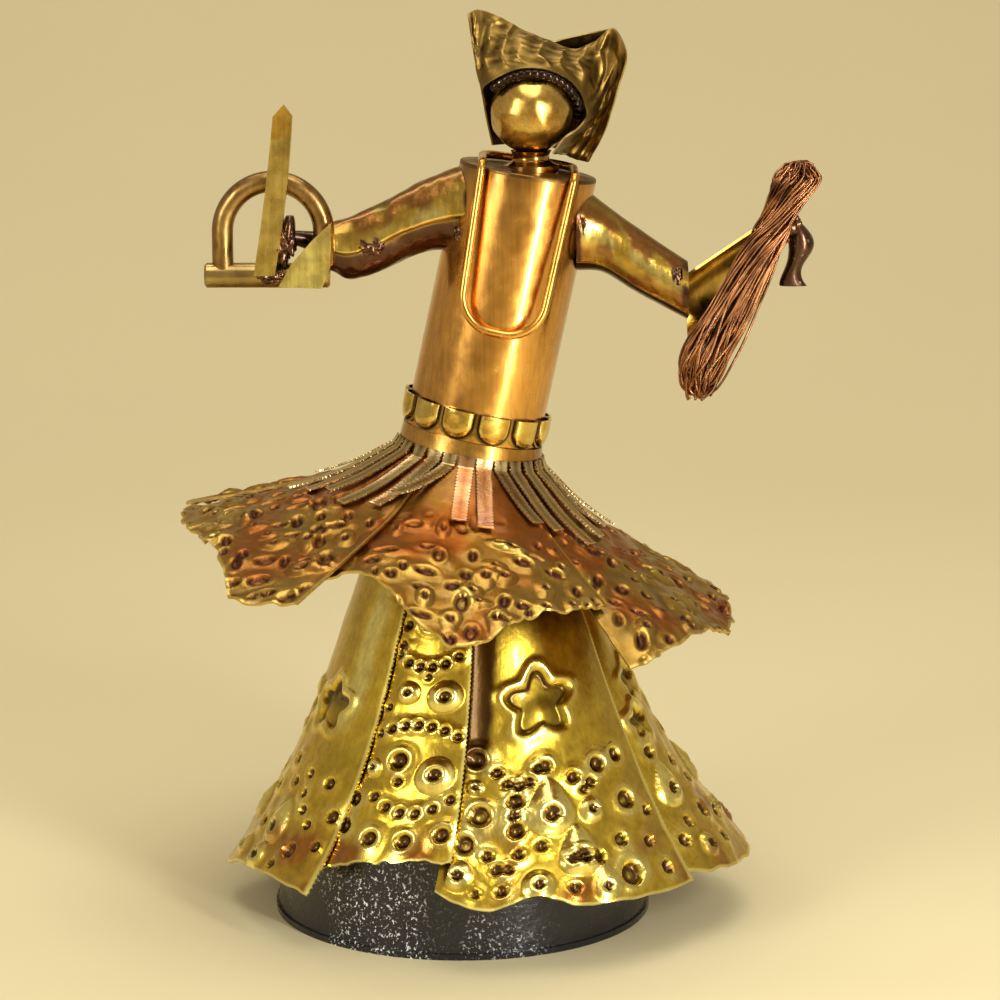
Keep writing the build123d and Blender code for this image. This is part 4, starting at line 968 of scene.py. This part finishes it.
class DANCER_OT_body(bpy.types.Operator):
    """Finishes the copper body, its cap, the neck and the necklace"""
    bl_idname = "dancer.body"
    bl_label = "Body"

    def execute(self, context):
        copper = context.scene.dancer_colours.copper
        # The fade darkens the top of the body, next to the shoulder cap, to dark brown as painted shade.
        rub_node("torso_tube", "body_copper", copper, scaled(copper, 0.62), roughness=0.2, streaks=(1, 1, 0.045),
                 patches=16, hammer=0.03, coat=0.35, fade=(0.239, 0.250, (0.30, 0.13, 0.03)))
        rub_node("shoulder_cap", "cap_olive", (0.30, 0.16, 0.04), (0.14, 0.07, 0.02), roughness=0.34)
        rub_node("neck_ferrule", "neck_brass", (0.66, 0.44, 0.09), (0.34, 0.17, 0.03), roughness=0.16,
                 streaks=(0.1, 0.1, 1), coat=0.3)
        rub_node("necklace", "necklace_copper", scaled(copper, 1.12), scaled(copper, 0.6), roughness=0.2,
                 streaks=(1, 1, 0.2))
        return {"FINISHED"}


class DANCER_OT_head(bpy.types.Operator):
    """Makes the planished head and its beaded band"""
    bl_idname = "dancer.head"
    bl_label = "Head"

    def execute(self, context):
        settings = context.scene.dancer_figure
        dress(skin("planished_head", faceted_ball(settings.facets), wrap=True, caps=True),
              brushed_metal("head_brass", (0.74, 0.50, 0.11), (0.42, 0.20, 0.035), roughness=0.24, streaks=(1, 1, 1),
                            patches=60, hammer=0.9, coat=0.35), ["head_ball"])
        turns = np.linspace(BAND_FROM, BAND_TO, 200)
        path = np.array([on_brow(turn, BAND_REACH) for turn in turns]) + HEAD_CENTRE
        bead = np.abs(np.sin(np.linspace(0, settings.beads * pi, len(turns))))
        lean = radians(BAND_TILT)
        rings = tube(path, BAND_RADIUS * (0.82 + 0.18 * np.sqrt(bead)), 18, np.array((0, cos(lean), sin(lean))))
        marks = {"relief": np.repeat((0.2 + 0.6 * bead)[:, None], 18, axis=1)}
        # The band's near-black is dark brazing and also painted shade of the gap under the scarf.
        dress(skin("beaded_band", rings, wrap=True, caps=True, marks=marks),
              brushed_metal("band_bronze_and_shade", (0.04, 0.019, 0.009), (0.012, 0.006, 0.004), roughness=0.2, specks=0.3,
                            hammer=0.6, coat=0.3), ["headband"])
        return {"FINISHED"}


class DANCER_OT_scarf(bpy.types.Operator):
    """Makes the creased headscarf, front and back"""
    bl_idname = "dancer.scarf"
    bl_label = "Headscarf"

    def execute(self, context):
        depth = context.scene.dancer_figure.crease_depth / MM
        finish = relief_metal(
            "creased_brass", (0.05, 0.022, 0.008), (0.20, 0.125, 0.03), (0.46, 0.34, 0.12), roughness=(0.46, 0.33),
            tint=(0.17, 0.07, 0.02))
        front, marks = creased(
            sheet_through(SCARF_FRONT, 230, 64) + HEAD_CENTRE, depth, 13, 31,
            lambda u, v: step(0.02, 0.3, v) * (1 - 0.8 * step(0.9, 1, v)), 0.63, 0.7)
        sheet("scarf_over_brow", front[::-1], {name: mark[::-1] for name, mark in marks.items()}, SCARF_GAUGE,
              finish, "scarf_front")
        back, marks = creased(
            (sheet_through(back_lines(), 130, 120) + HEAD_CENTRE).transpose(1, 0, 2), depth, 9, 35,
            lambda u, v: step(0, 0.1, v) * step(0, 0.06, u) * step(1, 0.94, u), 0.7, 0.56)
        sheet("scarf_behind_head", back, marks, SCARF_GAUGE, finish, "scarf_back")
        return {"FINISHED"}


class DANCER_OT_arms(bpy.types.Operator):
    """Makes the folded sleeves and finishes the forearms"""
    bl_idname = "dancer.arms"
    bl_label = "Arms"

    def execute(self, context):
        dark = context.scene.dancer_colours.dark
        finish = relief_metal(
            "arm_brass", (0.085, 0.034, 0.014), (0.46, 0.30, 0.045), (0.92, 0.80, 0.26), roughness=(0.30, 0.22),
            streaks=(1, 1, 0.1), tint=(0.30, 0.12, 0.03), coat=0.3)
        make_sleeve("left_draped_sleeve", "left_sleeve", LEFT_SLEEVE, 0.05, 0.26, finish)
        make_sleeve("right_draped_sleeve", "right_sleeve", RIGHT_SLEEVE, 0.75, 0.10, finish)
        bronze = brushed_metal("hand_bronze", scaled(dark, 2.0), scaled(dark, 0.6), roughness=0.28, streaks=(1, 1, 1),
                               hammer=0.5, specks=0.3, coat=0.3)
        for node in ("left_forearm", "left_hand", "right_hand"):
            coat_node(node, bronze)
        rub_node("right_forearm", "trough_brass", (0.80, 0.52, 0.09), (0.42, 0.22, 0.035), roughness=0.28,
                 streaks=(1, 1, 0.1), coat=0.25)
        return {"FINISHED"}


class DANCER_OT_brazing(bpy.types.Operator):
    """Adds the lumps of brazing at the joints"""
    bl_idname = "dancer.brazing"
    bl_label = "Brazing"

    def execute(self, context):
        dark = context.scene.dancer_colours.dark
        finish = brushed_metal("brazing", scaled(dark, 3.0), scaled(dark, 0.7), roughness=0.22, streaks=(1, 1, 1),
                               patches=150, hammer=0.9, specks=0.4, coat=0.25)
        bar_low, bar_high = (np.array(corner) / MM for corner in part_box("frame_bar"))
        stick_low = np.array(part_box("drum_stick")[0]) / MM
        spots = (
            ("left_elbow_braze", (-29.0, -13.8, 223.0), (4.2, 1.4, 2.8)),
            ("left_wrist_braze", (-42.6, -11.8, 222.6), (3.0, 4.0, 5.4)),
            ("left_shoulder_braze", (0.4, -12.6, 226.0), (2.6, 1.5, 2.4)),
            ("left_armpit_braze", (1.6, -11.8, 221.0), (1.8, 1.2, 2.0)),
            ("stick_foot_braze", (stick_low[0] + 5.0, bar_low[1] - 0.4, bar_high[2] - 3.6), (4.2, 2.2, 2.2)),
            ("grip_braze", (-56.5, -22.6, 224.5), (4.0, 4.6, 5.6)),
            ("right_shoulder_braze", (38.8, -12.8, 229.0), (1.5, 1.0, 3.0)),
            ("right_elbow_braze", (69.2, -13.6, 212.5), (1.8, 1.1, 3.4)),
            ("right_wrist_braze", (104.8, -12.6, 229.0), (3.6, 3.6, 4.4)),
        )
        for i, (name, centre, size) in enumerate(spots):
            dress(lump(name, centre, size, 80 + 2 * i, 0.36), finish)
        return {"FINISHED"}


class DANCER_OT_frame(bpy.types.Operator):
    """Finishes the D-shaped frame, its plate and the stick"""
    bl_idname = "dancer.frame"
    bl_label = "Frame and stick"

    def execute(self, context):
        rub_node("frame_bow", "bow_brass", (0.42, 0.26, 0.075), (0.18, 0.085, 0.025), roughness=0.28,
                 streaks=(1, 1, 0.3), hammer=0.6, coat=0.2)
        rub_node("frame_bar", "bar_brass", (0.56, 0.42, 0.15), (0.26, 0.15, 0.04), roughness=0.24,
                 streaks=(0.1, 1, 1), hammer=0.5, coat=0.2)
        rub_node("frame_plate", "plate_brass", context.scene.dancer_colours.brass, (0.55, 0.38, 0.1), roughness=0.24,
                 hammer=0.9, coat=0.2)
        rub_node("drum_stick", "stick_brass", (0.74, 0.55, 0.14), (0.42, 0.27, 0.05), roughness=0.26, hammer=0.5,
                 fade=(0.2575, 0.2585, (0.58, 0.34, 0.05)))
        return {"FINISHED"}


class DANCER_OT_whisk(bpy.types.Operator):
    """Bends the wires of the whisk: each runs up one side, loops over the top and comes down the other"""
    bl_idname = "dancer.whisk"
    bl_label = "Whisk"

    def execute(self, context):
        settings = context.scene.dancer_figure
        rng = np.random.default_rng(17)
        steps = np.linspace(0, len(WHISK_SECTIONS) - 1, 34)
        middle_x, middle_z, half_wide, half_deep = blend_through(WHISK_SECTIONS, steps).T
        cross = step(3.2, 6.4, steps)
        pieces = []
        for pin in range(settings.hairpins):
            base = pi * pin / settings.hairpins + rng.uniform(-0.2, 0.2)
            ring_share = np.sqrt((pin % 5 + 0.7) / 5)
            dip = rng.uniform(-4.0, 0.5)
            strands = []
            for half_turn in (0, pi):
                turn = base + half_turn + cross * pi * 0.75 + 0.5 * soft_hills(steps * 3 + 9 * pin, half_turn, 4.0, pin)
                share = ring_share * 0.94 + 0.16 * soft_hills(steps * 3 + 5 * pin, half_turn + 9, 3.0, 40 + pin)
                share = np.clip(share, 0, 1)
                loose = rng.uniform(-1, 1, 2)[:, None] * 1.5 * (1 - step(0, 2.5, steps))
                x = middle_x + half_wide * share * np.cos(turn) + loose[0]
                y = WHISK_DEPTH + half_deep * share * np.sin(turn) + loose[1]
                z = middle_z + rng.uniform(-0.6, 4.5) * (1 - step(0, 1.5, steps)) + dip * step(5.6, 7, steps)
                strands.append(np.stack([x, y, z], axis=-1))
            path = np.concatenate([strands[0], strands[1][::-1]])
            path = blend_through(path, np.linspace(0, len(path) - 1, 92))
            plane = base + pi / 2 + pi * 0.75
            rings = tube(path, settings.wire_radius / MM, 6, np.array((cos(plane), sin(plane), 0.02)))
            pieces.append(skin(f"whisk_wire_{pin + 1:02d}", rings, wrap=True, caps=True))
        with context.temp_override(active_object=pieces[0], selected_editable_objects=pieces):
            bpy.ops.object.join()
        pieces[0].name = "whisk_of_wires"
        dress(pieces[0], brushed_metal(
            "whisk_copper", (0.46, 0.21, 0.09), (0.12, 0.042, 0.018), roughness=0.26, streaks=(1, 1, 0.3),
            patches=110), ["whisk_wires"])
        return {"FINISHED"}


class DANCER_OT_stage(bpy.types.Operator):
    """Sets the floor, the backdrop, the lamps and the camera"""
    bl_idname = "dancer.stage"
    bl_label = "Stage"

    def execute(self, context):
        settings = context.scene.dancer_stage
        turn = np.linspace(0, pi / 2, 48)
        run = np.concatenate([[-2600.0, -1000.0, 400.0], 700 + 2200 * np.sin(turn), [2900.0]])
        rise = np.concatenate([[0.0, 0.0, 0.0], 2200 * (1 - np.cos(turn)), [3600.0]])
        sweep = skin("backdrop", points_of(np.array((2800.0, -2800.0))[None, :], run[:, None], rise[:, None]))
        sweep.data.materials.append(plain("pale_wall", context.scene.dancer_colours.wall))

        world = bpy.data.worlds.new("room")
        world.use_nodes = True
        background = world.node_tree.nodes["Background"]
        background.inputs["Color"].default_value = (0.86, 0.72, 0.50, 1)
        background.inputs["Strength"].default_value = 0.55
        context.scene.world = world

        figure, wall = (0.0, 0.0, 0.14), (0.0, 1.7, 0.5)
        lamps = (
            ("window_left", (-0.95, -0.95, 0.62), figure, (0.42, 0.62), 0.85, (1.0, 0.98, 0.93)),
            ("window_right", (0.78, -1.05, 0.52), figure, (0.20, 0.74), 0.55, (1.0, 0.99, 0.96)),
            ("door_gap", (0.375, -0.54, 0.25), figure, (0.055, 0.48), 0.36, (1.0, 1.0, 0.97)),
            ("ceiling", (0.1, -0.35, 1.35), figure, (0.8, 0.8), 0.75, (1.0, 0.96, 0.88)),
            ("wall_wash", (0.0, 0.6, 2.0), wall, (2.0, 0.6), 1.8, (1.0, 0.98, 0.93)),
        )
        for name, place, target, size, share, shade in lamps:
            data = bpy.data.lights.new(name, "AREA")
            data.shape = "RECTANGLE"
            data.size, data.size_y = size
            data.energy = settings.window_power * share
            data.color = shade
            lamp = bpy.data.objects.new(name, data)
            lamp.location = place
            way = Vector([a - b for a, b in zip(target, place)])
            lamp.rotation_euler = way.to_track_quat("-Z", "Y").to_euler()
            context.collection.objects.link(lamp)

        camera = bpy.data.objects.new("camera", bpy.data.cameras.new("camera"))
        camera.data.lens = settings.lens
        camera.location = settings.camera_place
        camera.rotation_euler = (pi / 2 - settings.camera_pitch, 0, 0)
        context.collection.objects.link(camera)
        context.scene.camera = camera
        context.scene.view_settings.view_transform = "Standard"
        return {"FINISHED"}


class DANCER_PT_panel(bpy.types.Panel):
    """Lists the dancer's settings and the pieces that can be made"""
    bl_label = "Dancer"
    bl_idname = "DANCER_PT_panel"
    bl_space_type = "VIEW_3D"
    bl_region_type = "UI"
    bl_category = "Dancer"

    def draw(self, context):
        for group in SETTINGS:
            box = self.layout.box()
            settings = getattr(context.scene, group)
            for key in settings.bl_rna.properties.keys():
                if key not in ("rna_type", "name"):
                    box.prop(settings, key)
        for operator in OPERATORS:
            self.layout.operator(operator.bl_idname)


OPERATORS = (
    DANCER_OT_stage, DANCER_OT_plinth, DANCER_OT_underskirt, DANCER_OT_overskirt, DANCER_OT_straps, DANCER_OT_waist,
    DANCER_OT_body, DANCER_OT_head, DANCER_OT_scarf, DANCER_OT_arms, DANCER_OT_brazing, DANCER_OT_frame,
    DANCER_OT_whisk,
)
SETTINGS = {"dancer_skirts": SkirtSettings, "dancer_figure": FigureSettings, "dancer_colours": ColourSettings,
            "dancer_stage": StageSettings}


def register():
    for name, group in SETTINGS.items():
        bpy.utils.register_class(group)
        setattr(bpy.types.Scene, name, PointerProperty(type=group))
    for operator in OPERATORS:
        bpy.utils.register_class(operator)
    bpy.utils.register_class(DANCER_PT_panel)


def unregister():
    bpy.utils.unregister_class(DANCER_PT_panel)
    for operator in reversed(OPERATORS):
        bpy.utils.unregister_class(operator)
    for name, group in SETTINGS.items():
        delattr(bpy.types.Scene, name)
        bpy.utils.unregister_class(group)


def main():
    register()
    for operator in OPERATORS:
        family, action = operator.bl_idname.split(".")
        getattr(getattr(bpy.ops, family), action)()


if __name__ == "__main__":
    main()
